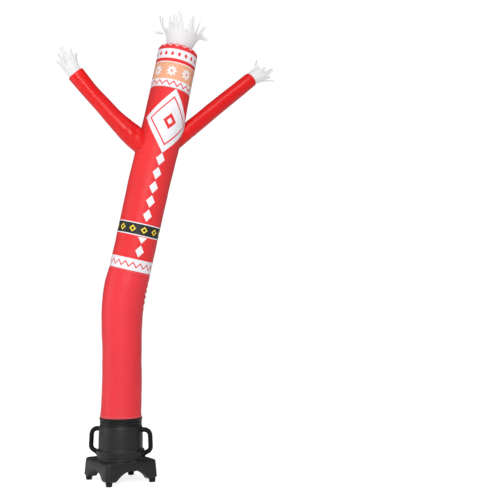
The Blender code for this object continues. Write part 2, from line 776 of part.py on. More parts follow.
def on_box(piece, reach=0.0, side=0.0, height=0.0):
    """Place a piece that is modelled with +X outwards at a spot of the control box."""
    out = Vector((math.cos(BOX_ANGLE), math.sin(BOX_ANGLE), 0.0))
    across = Vector((-out.y, out.x, 0.0))
    piece.location = out * reach + across * side + Vector((0.0, 0.0, height))
    piece.rotation_euler.z = BOX_ANGLE
    return piece


def make_flange(workshop, drum_plug):
    """The screwed plate, shaped to the drum behind and flat in front."""
    half = FLANGE_WIDTH / 2
    mesh = box_mesh("control_flange", (0.13, -half, FLANGE_LOW), (FLANGE_FRONT, half, FLANGE_HIGH))
    bm = bmesh.new()
    bm.from_mesh(mesh)
    corners = [e for e in bm.edges if abs(e.verts[0].co.x - e.verts[1].co.x) > 0.01]
    bmesh.ops.bevel(bm, geom=corners, offset=0.012, segments=4, profile=0.5, affect="EDGES")
    bm.to_mesh(mesh)
    bm.free()
    flange = on_box(workshop.add("control_flange", mesh, "blower_black"))
    boolean(flange, drum_plug)


def box_cutter(workshop, name, reach, half_side, half_height, side=0.0, height=0.0):
    """A cutter on the control box, given by its reach, half sizes and middle."""
    mesh = box_mesh(name, (reach[0], -half_side, -half_height), (reach[1], half_side, half_height))
    return on_box(workshop.add(name, mesh), side=side, height=height)


def make_housing(workshop):
    """The hooded box on the plate: a deep hood over a recessed front for the switch."""
    back = FLANGE_FRONT + CLEARANCE
    outline = [
        (back, HOUSING_HIGH),
        (HOOD_FRONT - 0.010, HOUSING_HIGH - 0.004),
        (HOOD_FRONT, HOUSING_HIGH - 0.016),
        (HOOD_FRONT, HOOD_LOW),
        (HOOD_FRONT - 0.004, HOOD_LOW - 0.003),
        (RECESS_FRONT, HOOD_LOW - 0.006),
        (RECESS_FRONT, HOUSING_LOW),
        (back, HOUSING_LOW),
    ]
    mesh = extruded("control_housing", outline, HOUSING_WIDTH / 2)
    housing = on_box(workshop.add("control_housing", mesh, "blower_black"))
    rounding = housing.modifiers.new("rounding", "BEVEL")
    rounding.width = 0.003
    rounding.segments = 2
    rounding.limit_method = "ANGLE"
    rounding.angle_limit = math.radians(40.0)

    low, high = HOUSING_LOW + HOUSING_WALL, HOUSING_HIGH - 0.012
    inside = box_cutter(workshop, "housing_inside", (back - 0.02, RECESS_FRONT - HOUSING_WALL),
                        HOUSING_WIDTH / 2 - HOUSING_WALL, (high - low) / 2, height=(high + low) / 2)
    cutout = box_cutter(workshop, "switch_cutout", (RECESS_FRONT - 0.02, RECESS_FRONT + 0.02),
                        ROCKER_LENGTH / 2 + 0.0019, ROCKER_HEIGHT / 2 + 0.0008,
                        side=SWITCH_SIDE, height=SWITCH_HEIGHT)
    boolean(housing, inside)
    boolean(housing, cutout)


def make_switch(workshop):
    """The rocker in its frame; the rocker's origin is on its upright pivot."""
    face = RECESS_FRONT + CLEARANCE
    half_length, half_height = BEZEL_LENGTH / 2, BEZEL_HEIGHT / 2
    frame = box_mesh("switch_bezel", (face, -half_length, -half_height),
                     (face + BEZEL_DEPTH, half_length, half_height))
    bezel = workshop.add("switch_bezel", frame, "trim_black")
    on_box(bezel, side=SWITCH_SIDE, height=SWITCH_HEIGHT)
    boolean(bezel, box_cutter(workshop, "bezel_hole", (face - 0.01, face + 0.01),
                              ROCKER_LENGTH / 2 + 0.0014, ROCKER_HEIGHT / 2 + CLEARANCE,
                              side=SWITCH_SIDE, height=SWITCH_HEIGHT))

    half = ROCKER_LENGTH / 2
    outline = arc((0.0, 0.0), half, -90.0, -270.0, 13)
    outline += [(0.0062, half), (0.0036, 0.0), (0.0062, -half)]
    shape = extruded("switch_rocker", outline, ROCKER_HEIGHT / 2)
    rocker = workshop.add("switch_rocker", shape, "switch_green")
    on_box(rocker, reach=RECESS_FRONT, side=SWITCH_SIDE, height=SWITCH_HEIGHT)
    rocker.rotation_euler = (math.pi / 2, 0.0, BOX_ANGLE + ROCKER_TILT)


def make_screws(workshop):
    """Four pan-head screws at the plate's corners."""
    head_radius, head_height = 0.0052, 0.0028
    dome = [(head_radius * math.sin(t), head_height * math.cos(t) ** 0.7) for t in (0.4, 0.8, 1.2)]
    side = FLANGE_WIDTH / 2 - SCREW_INSET
    places = ((side, FLANGE_HIGH - SCREW_INSET), (-side, FLANGE_HIGH - SCREW_INSET),
              (-side, FLANGE_LOW + SCREW_INSET), (side, FLANGE_LOW + SCREW_INSET))
    for number, (offset, height) in enumerate(places, start=1):
        head = [*dome, (head_radius, 0.0)]
        screw = turned_solid(workshop, f"screw_{number}", head, "bright_metal", steps=16)
        on_box(screw, reach=FLANGE_FRONT + CLEARANCE, side=offset, height=height)
        screw.rotation_euler.y = math.pi / 2


def make_gland(workshop):
    """The metal gland under the box: a hexagon and a domed nut with an open bore."""
    bm = bmesh.new()
    bmesh.ops.create_cone(bm, cap_ends=True, segments=6, radius1=0.0125, radius2=0.0125, depth=0.009)
    bmesh.ops.translate(bm, verts=bm.verts, vec=(0.0, 0.0, -0.0045))
    gland = workshop.add("cable_gland", mesh_from(bm, "cable_gland"), "bright_metal")
    dome = [(0.0098, -0.005), (0.0098, -0.018), (0.0088, -0.0225), (0.0065, -0.025), (0.0040, -0.025),
            (0.0040, -0.005)]
    dome_piece = turned(workshop, "gland_dome", dome, steps=20)
    bore = turned_solid(workshop, "gland_bore", [(0.0040, -0.003), (0.0040, -0.03)], steps=20)
    for part in (gland, dome_piece, bore):
        on_box(part, reach=GLAND_REACH, side=GLAND_SIDE, height=HOUSING_LOW - CLEARANCE)
    boolean(gland, dome_piece, "UNION")
    boolean(gland, bore)


def main():
    """Build the blower, then the figure on it."""
    clear_scene()
    workshop = Workshop()
    drum_plug = make_drum(workshop)
    make_outlet_bands(workshop)
    make_base(workshop)
    make_feet(workshop)
    make_guard(workshop)
    make_handles(workshop, drum_plug)
    make_flange(workshop, drum_plug)
    make_housing(workshop)
    make_switch(workshop)
    make_screws(workshop)
    make_gland(workshop)
    coat_tube, coat_plug = make_body(workshop)
    make_arm(workshop, "arm_left", LEFT_ARM, coat_tube, coat_plug)
    make_arm(workshop, "arm_right", RIGHT_ARM, coat_tube, coat_plug)
    make_fringes(workshop)


if __name__ == "__main__":
    main()
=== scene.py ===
"""Looks of an inflatable tube figure on its blower.

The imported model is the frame. Each sub-assembly is a class that holds its sizes and builds its
meshes in metres, in the frame's own coordinates, and dresses them in its finishes.
"""
import json
import logging
import math
from dataclasses import dataclass
from enum import Enum
from functools import cached_property
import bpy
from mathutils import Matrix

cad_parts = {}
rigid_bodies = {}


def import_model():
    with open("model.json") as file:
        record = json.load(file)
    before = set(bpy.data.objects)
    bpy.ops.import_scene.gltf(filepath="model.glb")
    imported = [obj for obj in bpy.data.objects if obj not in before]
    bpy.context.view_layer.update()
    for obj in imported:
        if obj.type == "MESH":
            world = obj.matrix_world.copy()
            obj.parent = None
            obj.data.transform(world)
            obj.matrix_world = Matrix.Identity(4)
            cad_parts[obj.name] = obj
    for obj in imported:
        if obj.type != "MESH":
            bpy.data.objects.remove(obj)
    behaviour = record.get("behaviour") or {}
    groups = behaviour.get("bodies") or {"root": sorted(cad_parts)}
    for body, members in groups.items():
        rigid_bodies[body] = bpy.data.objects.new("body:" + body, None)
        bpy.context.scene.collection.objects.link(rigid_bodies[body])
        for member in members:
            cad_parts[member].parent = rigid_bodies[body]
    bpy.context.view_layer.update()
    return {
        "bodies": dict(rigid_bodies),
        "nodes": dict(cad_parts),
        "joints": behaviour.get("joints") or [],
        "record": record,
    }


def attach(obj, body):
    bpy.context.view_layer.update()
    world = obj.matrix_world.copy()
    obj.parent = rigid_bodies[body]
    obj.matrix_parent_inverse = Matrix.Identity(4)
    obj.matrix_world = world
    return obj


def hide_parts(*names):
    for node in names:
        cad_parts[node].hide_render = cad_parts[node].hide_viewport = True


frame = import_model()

from types import SimpleNamespace
from typing import Callable, Iterable, NamedTuple, Protocol, Sequence

import bmesh
import bpy
import numpy as np
from mathutils import Matrix, Vector

log = logging.getLogger("tube_figure")

Array = np.ndarray
Colour = tuple[float, float, float]
Profile = list[tuple[float, float]]
Material = bpy.types.Material
Piece = bpy.types.Object

STAND = (-0.281, 0.104)                   # the blower's axis, on the floor
FIGURE_TURN = math.radians(-11.0)         # the figure's front, turned about the blower's axis
ON_STAND = Matrix.Translation((*STAND, 0.0))
ON_FIGURE = ON_STAND @ Matrix.Rotation(FIGURE_TURN, 4, "Z")
UV_NAME = "cut"                           # across the cloth as a share of its round, along it in metres
SMOOTH = 180.0                            # no edge is sharper than this many degrees
CLEARANCE = 0.0003                        # between pieces that would otherwise share a face
FOUR_CORNERS = ((1, 1), (-1, 1), (-1, -1), (1, -1))


# ------------------------------------------------------------------ named choices

class Body(Enum):
    """The bodies that pieces ride on."""

    DANCER = "dancer"
    ROCKER = "rocker"


class Slot(Enum):
    """The record's material slots."""

    RED_CLOTH = "cloth_red"
    HEAD_CLOTH = "cloth_head"
    WHITE_CLOTH = "cloth_white"
    BLOWER = "blower_plastic"
    TRIM = "trim_plastic"
    ROCKER = "rocker_plastic"
    RUBBER = "foot_rubber"
    METAL = "bright_metal"


class Held(Enum):
    """How a sheet of cloth is held."""

    STRETCHED = "stretched"
    HUNG = "hung"


class Dye(Enum):
    """The cloth's dyes, as linear colours."""

    RED = (0.745, 0.028, 0.033)
    ROSE_RED = (0.76, 0.034, 0.047)
    DEEP_RED = (0.70, 0.005, 0.006)
    WHITE = (0.80, 0.80, 0.835)
    BLACK = (0.018, 0.020, 0.021)
    YELLOW = (0.88, 0.66, 0.045)
    PEACH = (0.79, 0.385, 0.235)


# ------------------------------------------------------------------ lines and directions

def unit(vectors: Array) -> Array:
    """Vectors of length 1."""
    return vectors / np.linalg.norm(vectors, axis=-1, keepdims=True)


def wrapped(turns: Array) -> Array:
    """Turns from -pi to pi."""
    return (turns + math.pi) % (2 * math.pi) - math.pi


def turns_round(count: int, start: float = 0.0) -> Array:
    """Even turns once round, without the last that would fall on the first."""
    return np.linspace(start, start + 2 * math.pi, count, endpoint=False)


def run_along(line: Array) -> Array:
    """The length of a line up to each of its points."""
    return np.concatenate([[0.0], np.cumsum(np.linalg.norm(np.diff(line, axis=0), axis=1))])


def along(line: Array, run: Array, places: Array | float) -> Array:
    """Points of a line at lengths along it."""
    return np.stack([np.interp(places, run, column) for column in line.T], axis=-1)


def to_frame(points: Array) -> Array:
    """Points of the figure's own axes in the frame's coordinates."""
    matrix = np.array(ON_FIGURE)
    return points @ matrix[:3, :3].T + matrix[:3, 3]


def arc(centre: tuple[float, float], radius: float, start: float, end: float, count: int) -> Profile:
    """Points of an arc in a plane, from one angle in degrees to another."""
    turns = [math.radians(start + (end - start) * i / (count - 1)) for i in range(count)]
    return [(centre[0] + radius * math.cos(t), centre[1] + radius * math.sin(t)) for t in turns]


def beside(radius: float, height: float, *steps: tuple[float, float]) -> Profile:
    """Points of a profile, in millimetres out from and up from one place."""
    return [(radius + out / 1000, height + up / 1000) for out, up in steps]


def path_frames(path: Array, closed: bool) -> tuple[Array, Array]:
    """Two directions across a path at each of its points, turning as little as they can.

    Args:
        path: Its points.
        closed: Whether the path's end joins its start.

    Returns:
        Both directions, point by point.
    """
    if closed:
        ahead = unit(np.roll(path, -1, axis=0) - np.roll(path, 1, axis=0))
    else:
        ahead = unit(np.gradient(path, axis=0))
    sides = [unit(np.cross(ahead[0], (0.3, 0.2, 0.93)))]
    for way in ahead[1:]:
        sides.append(unit(sides[-1] - way * (sides[-1] @ way)))
    side = np.array(sides)
    if closed:
        slip_side = sides[-1] - ahead[0] * (sides[-1] @ ahead[0])
        slip = math.atan2(np.cross(slip_side, side[0]) @ ahead[0], slip_side @ side[0])
        turn = np.linspace(0.0, slip, len(path))[:, None]
        side = side * np.cos(turn) + np.cross(ahead, side) * np.sin(turn)
    return side, np.cross(ahead, side)


# ------------------------------------------------------------------ meshes

def grid_faces(rows: int, columns: int, closed: bool, first: int = 0) -> list[tuple[int, ...]]:
    """Quads of a grid of points that are numbered row by row.

    Args:
        rows: How many rows of points.
        columns: How many points in a row.
        closed: Whether the last column joins the first.
        first: The number of the first point.

    Returns:
        The quads, wound so that they look outwards where columns run anticlockwise.
    """
    faces = []
    for row in range(rows - 1):
        low = first + row * columns
        high = low + columns
        for column in range(columns if closed else columns - 1):
            after = (column + 1) % columns
            faces.append((low + column, low + after, high + after, high + column))
    return faces


def linked(name: str, data: bpy.types.ID) -> Piece:
    """An object linked to the scene.

    Args:
        name: Its name.
        data: Its mesh, in the frame's coordinates, or its lamp or camera.

    Returns:
        The new object.
    """
    piece = bpy.data.objects.new(name, data)
    bpy.context.scene.collection.objects.link(piece)
    return piece


def shaded(mesh: bpy.types.Mesh, angle: float) -> None:
    """Shade a mesh smooth, apart from edges sharper than an angle in degrees.

    Args:
        mesh: The mesh.
        angle: The angle.
    """
    mesh.shade_smooth()
    if angle < SMOOTH:
        mesh.set_sharp_from_angle(angle=math.radians(angle))


def surfaced(name: str, points: Array, faces: list, angle: float = SMOOTH, merge: float = 0.0,
             cut_map: Array | None = None) -> Piece:
    """A piece of points and faces.

    Args:
        name: The piece's name.
        points: The points, in the frame's coordinates.
        faces: The numbers of each face's points.
        angle: Edges sharper than this many degrees stay crisp.
        merge: Points nearer than this become one, and faces turn outwards; with 0 nothing changes.
        cut_map: The flat cut's two coordinates at each point of each face.

    Returns:
        The new object.
    """
    mesh = bpy.data.meshes.new(name)
    mesh.from_pydata(np.asarray(points, float).reshape(-1, 3).tolist(), [], faces)
    if cut_map is not None:
        mesh.uv_layers.new(name=UV_NAME).data.foreach_set("uv", cut_map.astype(np.float32).ravel())
    if merge:
        bm = bmesh.new()
        bm.from_mesh(mesh)
        bmesh.ops.remove_doubles(bm, verts=bm.verts, dist=merge)
        bmesh.ops.recalc_face_normals(bm, faces=bm.faces)
        bm.to_mesh(mesh)
        bm.free()
    mesh.validate()
    shaded(mesh, angle)
    return linked(name, mesh)


def capped(name: str, rows: Array, angle: float, merge: float = 1e-7) -> Piece:
    """A solid through rows of points, with both ends closed.

    Args:
        name: The piece's name.
        rows: The rows, each a closed outline of as many points.
        angle: Edges sharper than this many degrees stay crisp.
        merge: Points nearer than this become one.

    Returns:
        The new object.
    """
    rows = np.asarray(rows, float)
    count, last = rows.shape[1], (len(rows) - 1) * rows.shape[1]
    ends = [tuple(range(count))[::-1], tuple(range(last, last + count))]
    return surfaced(name, rows, grid_faces(len(rows), count, True) + ends, angle, merge)


def skin(name: str, points: Array, cut_map: Array, closed: bool = True) -> Piece:
    """A cloth surface through a grid of points, with a map of the flat cut.

    Args:
        name: The piece's name.
        points: Points, rows by columns by three.
        cut_map: The cut's two coordinates at each point; a closed grid's carries one more column.
        closed: Whether the surface closes on itself.

    Returns:
        The new object.
    """
    rows, columns = points.shape[:2]
    last = columns if closed else columns - 1
    low, high = cut_map[:-1], cut_map[1:]
    corners = np.stack([low[:, :last], low[:, 1:last + 1], high[:, 1:last + 1], high[:, :last]], axis=2)
    return surfaced(name, points, grid_faces(rows, columns, closed), cut_map=corners)


def lathe(name: str, profile: Profile, steps: int, closed: bool = True, angle: float = 32.0,
          shape: Callable[[Array, Array, Array], tuple[Array, Array]] | None = None) -> Piece:
    """A turned piece about the Z axis.

    Args:
        name: The piece's name.
        profile: Radius and height of its points, up the outer side first.
        steps: Points round it.
        closed: Whether the profile's last point joins its first.
        angle: Edges sharper than this many degrees stay crisp.
        shape: Changes radii and heights, given the radii, the heights and the turns.

    Returns:
        The new object, at the frame's origin.
    """
    turns = turns_round(steps)[None, :]
    section = np.array(profile + profile[:1] if closed else profile, float)
    radii, heights = (np.repeat(section[:, i:i + 1], steps, axis=1) for i in (0, 1))
    if shape is not None:
        radii, heights = shape(radii, heights, turns)
    points = np.stack([radii * np.cos(turns), radii * np.sin(turns), heights], axis=2)
    return surfaced(name, points, grid_faces(len(section), steps, True), angle, 1e-6)


def rod(name: str, path: Array, radius: float | Array, sides: int, closed: bool = False) -> Piece:
    """A round rod along a path, with rounded ends where it is open.

    Args:
        name: The piece's name.
        path: The points of its middle line.
        radius: Its radius, or one for each point.
        sides: Points round its section.
        closed: Whether it closes on itself.

    Returns:
        The new object.
    """
    path = np.asarray(path, float)
    radii = np.broadcast_to(np.asarray(radius, float), (len(path),)).copy()
    if not closed:
        start, finish = (path[a] + unit(path[a] - path[b]) * radii[a] * 0.5 for a, b in ((0, 1), (-1, -2)))
        path = np.vstack([start, path, finish])
        radii = np.concatenate([[radii[0] * 0.35], radii, [radii[-1] * 0.35]])
    first, second = path_frames(path, closed)
    turns = turns_round(sides)[None, :, None]
    around = first[:, None, :] * np.cos(turns) + second[:, None, :] * np.sin(turns)
    rows = path[:, None, :] + around * radii[:, None, None]
    if not closed:
        return capped(name, rows, 60.0)
    faces, last = grid_faces(len(path), sides, True), (len(path) - 1) * sides
    faces += [(last + i, last + (i + 1) % sides, (i + 1) % sides, i) for i in range(sides)]
    return surfaced(name, rows, faces, 60.0, 1e-7)


def block(name: str, low: Sequence[float], high: Sequence[float]) -> Piece:
    """A box between two corners, as stock for cutting.

    Args:
        name: The piece's name.
        low: Its lowest corner.
        high: Its highest corner.

    Returns:
        The new object.
    """
    corners = [(x, y, z) for z in (low[2], high[2]) for y in (low[1], high[1]) for x in (low[0], high[0])]
    faces = [(0, 2, 3, 1), (4, 5, 7, 6), (0, 1, 5, 4), (2, 6, 7, 3), (0, 4, 6, 2), (1, 3, 7, 5)]
    return surfaced(name, corners, faces, 30.0)


def moved(piece: Piece, matrix: Matrix) -> Piece:
    """A piece whose mesh is moved; the object itself stays at the origin."""
    piece.data.transform(matrix)
    return piece


def joined(name: str, parts: Sequence[Piece]) -> Piece:
    """One piece out of several, which are used up.

    Args:
        name: The new piece's name.
        parts: Pieces whose meshes it takes, in this order.

    Returns:
        The new object.
    """
    bm = bmesh.new()
    for part in parts:
        bm.from_mesh(part.data)
        bpy.data.objects.remove(part)
    mesh = bpy.data.meshes.new(name)
    bm.to_mesh(mesh)
    bm.free()
    return linked(name, mesh)


def altered(piece: Piece, kind: str, **settings: object) -> Piece:
    """Change a piece's mesh by a modifier, which isn't left on it.

    Args:
        piece: The piece.
        kind: The modifier's kind.
        settings: Its settings.

    Returns:
        The same piece.
    """
    modifier = piece.modifiers.new(kind.lower(), kind)
    for name, value in settings.items():
        setattr(modifier, name, value)
    graph = bpy.context.evaluated_depsgraph_get()
    graph.update()
    mesh = bpy.data.meshes.new_from_object(piece.evaluated_get(graph))
    piece.modifiers.clear()
    piece.data = mesh
    return piece


def cut(piece: Piece, cutter: Piece, operation: str = "DIFFERENCE") -> None:
    """Cut a piece by another, or join or cross it with the other, which is used up."""
    altered(piece, "BOOLEAN", operation=operation, solver="EXACT", object=cutter)
    bpy.data.objects.remove(cutter)


def eased(piece: Piece, width: float, segments: int, angle: float) -> Piece:
    """Round a piece's sharp edges and shade it smooth between them.

    Args:
        piece: The piece.
        width: How wide the rounding is.
        segments: Faces across it.
        angle: Edges flatter than this many degrees are left.

    Returns:
        The same piece.
    """
    altered(piece, "BEVEL", width=width, segments=segments, limit_method="ANGLE",
            angle_limit=math.radians(angle), use_clamp_overlap=True)
    shaded(piece.data, 38.0)
    return piece


def settle(piece: Piece, finish: "Finish", replaces: Sequence[str] = (),
           body: Body = Body.DANCER) -> Piece:
    """Dress a piece, let it ride on its body and hide the CAD nodes that it stands for.

    Args:
        piece: The piece.
        finish: Its finish.
        replaces: CAD nodes that the piece stands for.
        body: The body that it moves with.

    Returns:
        The same piece.
    """
    piece.data.materials.clear()
    piece.data.materials.append(finish.material())
    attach(piece, body.value)
    if replaces:
        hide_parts(*replaces)
    log.info("%-22s %6d faces, on %s", piece.name, len(piece.data.polygons), body.value)
    return piece


# ------------------------------------------------------------------ shader graphs

def _operator(kind: str) -> Callable[["Wire", object], "Wire"]:
    """An operator between wires that adds a Math node of a kind."""
    return lambda wire, other: wire.graph.math(kind, wire, other)


@dataclass(frozen=True)
class Wire:
    """What a node puts out, to be added to, scaled by or compared with wires and numbers."""

    graph: "Graph"
    socket: bpy.types.NodeSocket

    __add__ = _operator("ADD")
    __sub__ = _operator("SUBTRACT")
    __mul__ = _operator("MULTIPLY")
    __truediv__ = _operator("DIVIDE")
    __lt__ = _operator("LESS_THAN")

    def __abs__(self) -> "Wire":
        """The value without its sign."""
        return self.graph.math("ABSOLUTE", self)

    def scaled(self, factor: object, more: object, clamp: bool = False) -> "Wire":
        """The value times a factor with more added, kept between 0 and 1 if asked."""
        return self.graph.math("MULTIPLY_ADD", self, factor, more, clamp=clamp)


@dataclass(frozen=True)
class Graph:
    """A node tree under construction, with short ways to add what it needs."""

    tree: bpy.types.NodeTree

    def feed(self, socket: bpy.types.NodeSocket, value: object) -> None:
        """Link a socket, or set its constant.

        Args:
            socket: The input socket.
            value: A wire, a number or a triple.
        """
        if isinstance(value, Wire):
            self.tree.links.new(value.socket, socket)
        elif socket.type == "RGBA":
            socket.default_value = (*value, 1.0)
        else:
            socket.default_value = value

    def node(self, kind: str, inputs: Sequence | dict = (), **settings: object) -> bpy.types.ShaderNode:
        """Add a node.

        Args:
            kind: Its kind.
            inputs: Values for its first inputs, or by an input's number or name.
            settings: Its settings.

        Returns:
            The node.
        """
        made = self.tree.nodes.new(f"ShaderNode{kind}")
        for name, value in settings.items():
            setattr(made, name, value)
        for key, value in inputs.items() if isinstance(inputs, dict) else enumerate(inputs):
            self.feed(made.inputs[key], value)
        return made

    def wire(self, kind: str, inputs: Sequence | dict = (), output: int | str = 0, **settings: object) -> Wire:
        """Add a node and take one of its outputs."""
        return Wire(self, self.node(kind, inputs, **settings).outputs[output])

    def math(self, operation: str, *values: object, clamp: bool = False) -> Wire:
        """Add a Math node, kept between 0 and 1 if asked."""
        return self.wire("Math", values, operation=operation, use_clamp=clamp)

    def product(self, first: object, second: object) -> Wire:
        """Two vectors multiplied part by part."""
        return self.wire("VectorMath", (first, second), operation="MULTIPLY")

    def split(self, vector: Wire) -> list[Wire]:
        """The three parts of a vector."""
        return [Wire(self, part) for part in self.node("SeparateXYZ", (vector,)).outputs]

    def merged(self, *parts: object) -> Wire:
        """A vector of up to three parts."""
        return self.wire("CombineXYZ", parts)

    def mix(self, factor: object, first: object, second: object) -> Wire:
        """A colour between two, by a factor."""
        return self.wire("Mix", {0: factor, 6: first, 7: second}, 2, data_type="RGBA")

    def between(self, *numbers: object) -> Wire:
        """A value eased from a low to a high limit into 0 to 1, or into the next two numbers."""
        return self.wire("MapRange", numbers, interpolation_type="SMOOTHSTEP")

    def noise(self, place: Wire, scale: float, detail: float, roughness: float, twist: float = 0.0) -> Wire:
        """The value of a noise at a place."""
        return self.wire("TexNoise", {"Vector": place, "Scale": scale, "Detail": detail,
                                      "Roughness": roughness, "Distortion": twist}, "Fac")


def _key(label: str) -> str:
    """A socket's label as a name in code."""
    return label.lower().replace(" ", "_")


@dataclass(frozen=True)
class Effect:
    """A node group that several materials share: built once, placed with values of its own.

    A number makes an input a value; a triple or None makes it a vector.
    """

    name: str
    inputs: dict[str, object]
    outputs: tuple[str, ...]
    fill: Callable[[SimpleNamespace], Wire | tuple[Wire, ...]]

    def tree(self) -> bpy.types.NodeTree:
        """The group, built when it is first asked for.

        Returns:
            The group.
        """
        found = bpy.data.node_groups.get(self.name)
        if found is not None:
            return found
        tree = bpy.data.node_groups.new(self.name, "ShaderNodeTree")
        for label, value in self.inputs.items():
            kind = "NodeSocketFloat" if isinstance(value, float) else "NodeSocketVector"
            socket = tree.interface.new_socket(label, in_out="INPUT", socket_type=kind)
            if value is not None:
                socket.default_value = value
        for label in self.outputs:
            kind = "NodeSocketVector" if label == "Colour" else "NodeSocketFloat"
            tree.interface.new_socket(label, in_out="OUTPUT", socket_type=kind)
        entry, leave = tree.nodes.new("NodeGroupInput"), tree.nodes.new("NodeGroupOutput")
        graph = Graph(tree)
        given = {_key(label): Wire(graph, entry.outputs[label]) for label in self.inputs}
        made = self.fill(SimpleNamespace(graph=graph, **given))
        for label, wire in zip(self.outputs, (made,) if isinstance(made, Wire) else made):
            graph.feed(leave.inputs[label], wire)
        return tree

    def place(self, graph: Graph, **values: object) -> SimpleNamespace:
        """Add the group to a graph.

        Args:
            graph: The graph.
            values: Wires or constants for its inputs; a Place that isn't given is the surface's own.

        Returns:
            The group's outputs by name.
        """
        group = graph.node("Group", node_tree=self.tree())
        if "Place" in self.inputs:
            values = {"place": graph.place, **values}
        sockets = {_key(socket.name): socket for socket in group.inputs}
        for name, value in values.items():
            graph.feed(sockets[name], value)
        return SimpleNamespace(**{_key(socket.name): Wire(graph, socket) for socket in group.outputs})


def effect(name: str, inputs: dict[str, object], *outputs: str) -> Callable[[Callable], Effect]:
    """Make the function that follows the filling of a shared effect."""
    return lambda fill: Effect(name, inputs, outputs, fill)


def _cell(across: Wire, count: object) -> Wire:
    """The place within a repeat, from -0.5 to 0.5."""
    return across.graph.math("FRACT", across * count) - 0.5


ON_CLOTH = {"Across": 0.0, "Along": 0.0}


@effect("level band", {**ON_CLOTH, "Low": 0.0, "High": 1.0}, "Mask")
def level_band(given: SimpleNamespace) -> Wire:
    """A band between two heights."""
    return abs(given.along - (given.low + given.high) * 0.5) < (given.high - given.low) * 0.5


@effect("row of lozenges", {**ON_CLOTH, "Count": 12.0, "Level": 0.0, "Half Share": 0.3,
                            "Half Height": 0.03}, "Mask")
def lozenge_row(given: SimpleNamespace) -> Wire:
    """A row of lozenges round the cloth."""
    across, along = abs(_cell(given.across, given.count)), abs(given.along - given.level)
    return across / given.half_share + along / given.half_height < 1.0


@effect("column of lozenges", {**ON_CLOTH, "Pitch": 0.1, "Low": 0.0, "High": 1.0, "Half Share": 0.03}, "Mask")
def lozenge_column(given: SimpleNamespace) -> Wire:
    """Lozenges above each other, up the front of the cloth between two heights.

    Args:
        given: The inputs.

    Returns:
        Where the lozenges are.
    """
    climb = abs(_cell(given.along - given.low, given.graph.math("DIVIDE", 1.0, given.pitch)))
    inside = climb / 0.44 + abs(given.across - 0.5) / given.half_share < 1.0
    return inside * (abs(given.along - (given.low + given.high) * 0.5) < (given.high - given.low) * 0.5)


@effect("zigzag line", {**ON_CLOTH, "Count": 12.0, "Level": 0.0, "Height": 0.03, "Thickness": 0.01}, "Mask")
def zigzag(given: SimpleNamespace) -> Wire:
    """A zigzag line round the cloth."""
    line = (abs(_cell(given.across, given.count)) - 0.25).scaled(given.height * 2.0, given.level)
    return abs(given.along - line) < given.thickness * 0.5


@effect("large rhombus", {**ON_CLOTH, "Level": 0.0, "Half Share": 0.2, "Half Height": 0.2, "Line Place": 0.8,
                          "Line Width": 0.03}, "Mask", "Line")
def rhombus(given: SimpleNamespace) -> tuple[Wire, Wire]:
    """One large rhombus, and a line inside its edge."""
    reach = abs(given.across - 0.5) / given.half_share + abs(given.along - given.level) / given.half_height
    return reach < 1.0, abs(reach - given.line_place) < given.line_width


@effect("row of stars", {**ON_CLOTH, "Count": 8.0, "Level": 0.0, "Radius": 0.05, "Round": 0.965}, "Mask")
def star_row(given: SimpleNamespace) -> Wire:
    """A row of eight-pointed stars made of lozenge petals.

    Args:
        given: The inputs.

    Returns:
        Where the stars are.
    """
    graph = given.graph
    x = _cell(given.across, given.count) * (given.round / given.count)
    y = given.along - given.level
    turn = abs(graph.math("WRAP", graph.math("ARCTAN2", y, x), math.pi / 8, -math.pi / 8))
    away = graph.math("SQRT", x * x + y * y) / given.radius
    out = abs(away * graph.math("COSINE", turn) - 0.56)
    return out / 0.44 + away * graph.math("SINE", turn) / 0.20 < 1.0


@effect("ripstop weave", {"Place": None, "Squares per Metre": 190.0}, "Height", "Grid")
def ripstop(given: SimpleNamespace) -> tuple[Wire, Wire]:
    """Fine threads with a heavier one every few millimetres both ways.

    Args:
        given: The inputs.

    Returns:
        The weave's height, and where the heavy threads are.
    """
    graph = given.graph
    ways = graph.split(given.place)[:2]
    grid = graph.math("MAXIMUM", *(graph.between(abs(_cell(way, given.squares_per_metre)), 0.40, 0.485)
                                   for way in ways))
    first, second = (graph.math("SINE", way * (given.squares_per_metre * 62.8)) for way in ways)
    return grid + first * second * 0.18, grid


@effect("cloth creases", {"Place": None, "Stretch": (1.0, 1.0, 1.0)}, "Height", "Mask")
def creases(given: SimpleNamespace) -> tuple[Wire, Wire]:
    """Soft creases of blown-up cloth, longer one way than the other.

    Args:
        given: The inputs.

    Returns:
        Their height, and where they are broad.
    """
    graph, place = given.graph, given.graph.product(given.place, given.stretch)
    broad, narrow = graph.noise(place, 7.0, 3.0, 0.55, 0.6), graph.noise(place, 31.0, 2.0, 0.5, 0.3)
    return abs(narrow - 0.5).scaled(-0.7, broad), graph.between(broad, 0.35, 0.68)


@effect("uneven colour", {"Place": None, "Colour": None, "Strength": 0.1}, "Colour")
def mottle(given: SimpleNamespace) -> Wire:
    """Uneven colour: broad clouds with specks in them.

    Args:
        given: The inputs.

    Returns:
        The colour.
    """
    graph = given.graph
    clouds, specks = graph.noise(given.place, 3.2, 4.0, 0.6), graph.noise(given.place, 140.0, 2.0, 0.6)
    tint = graph.between((specks - 0.5).scaled(0.5, clouds), 0.25, 0.75)
    level = (tint - 0.5) * given.strength + 1.0
    return graph.product(given.colour, graph.merged(level, level, level))


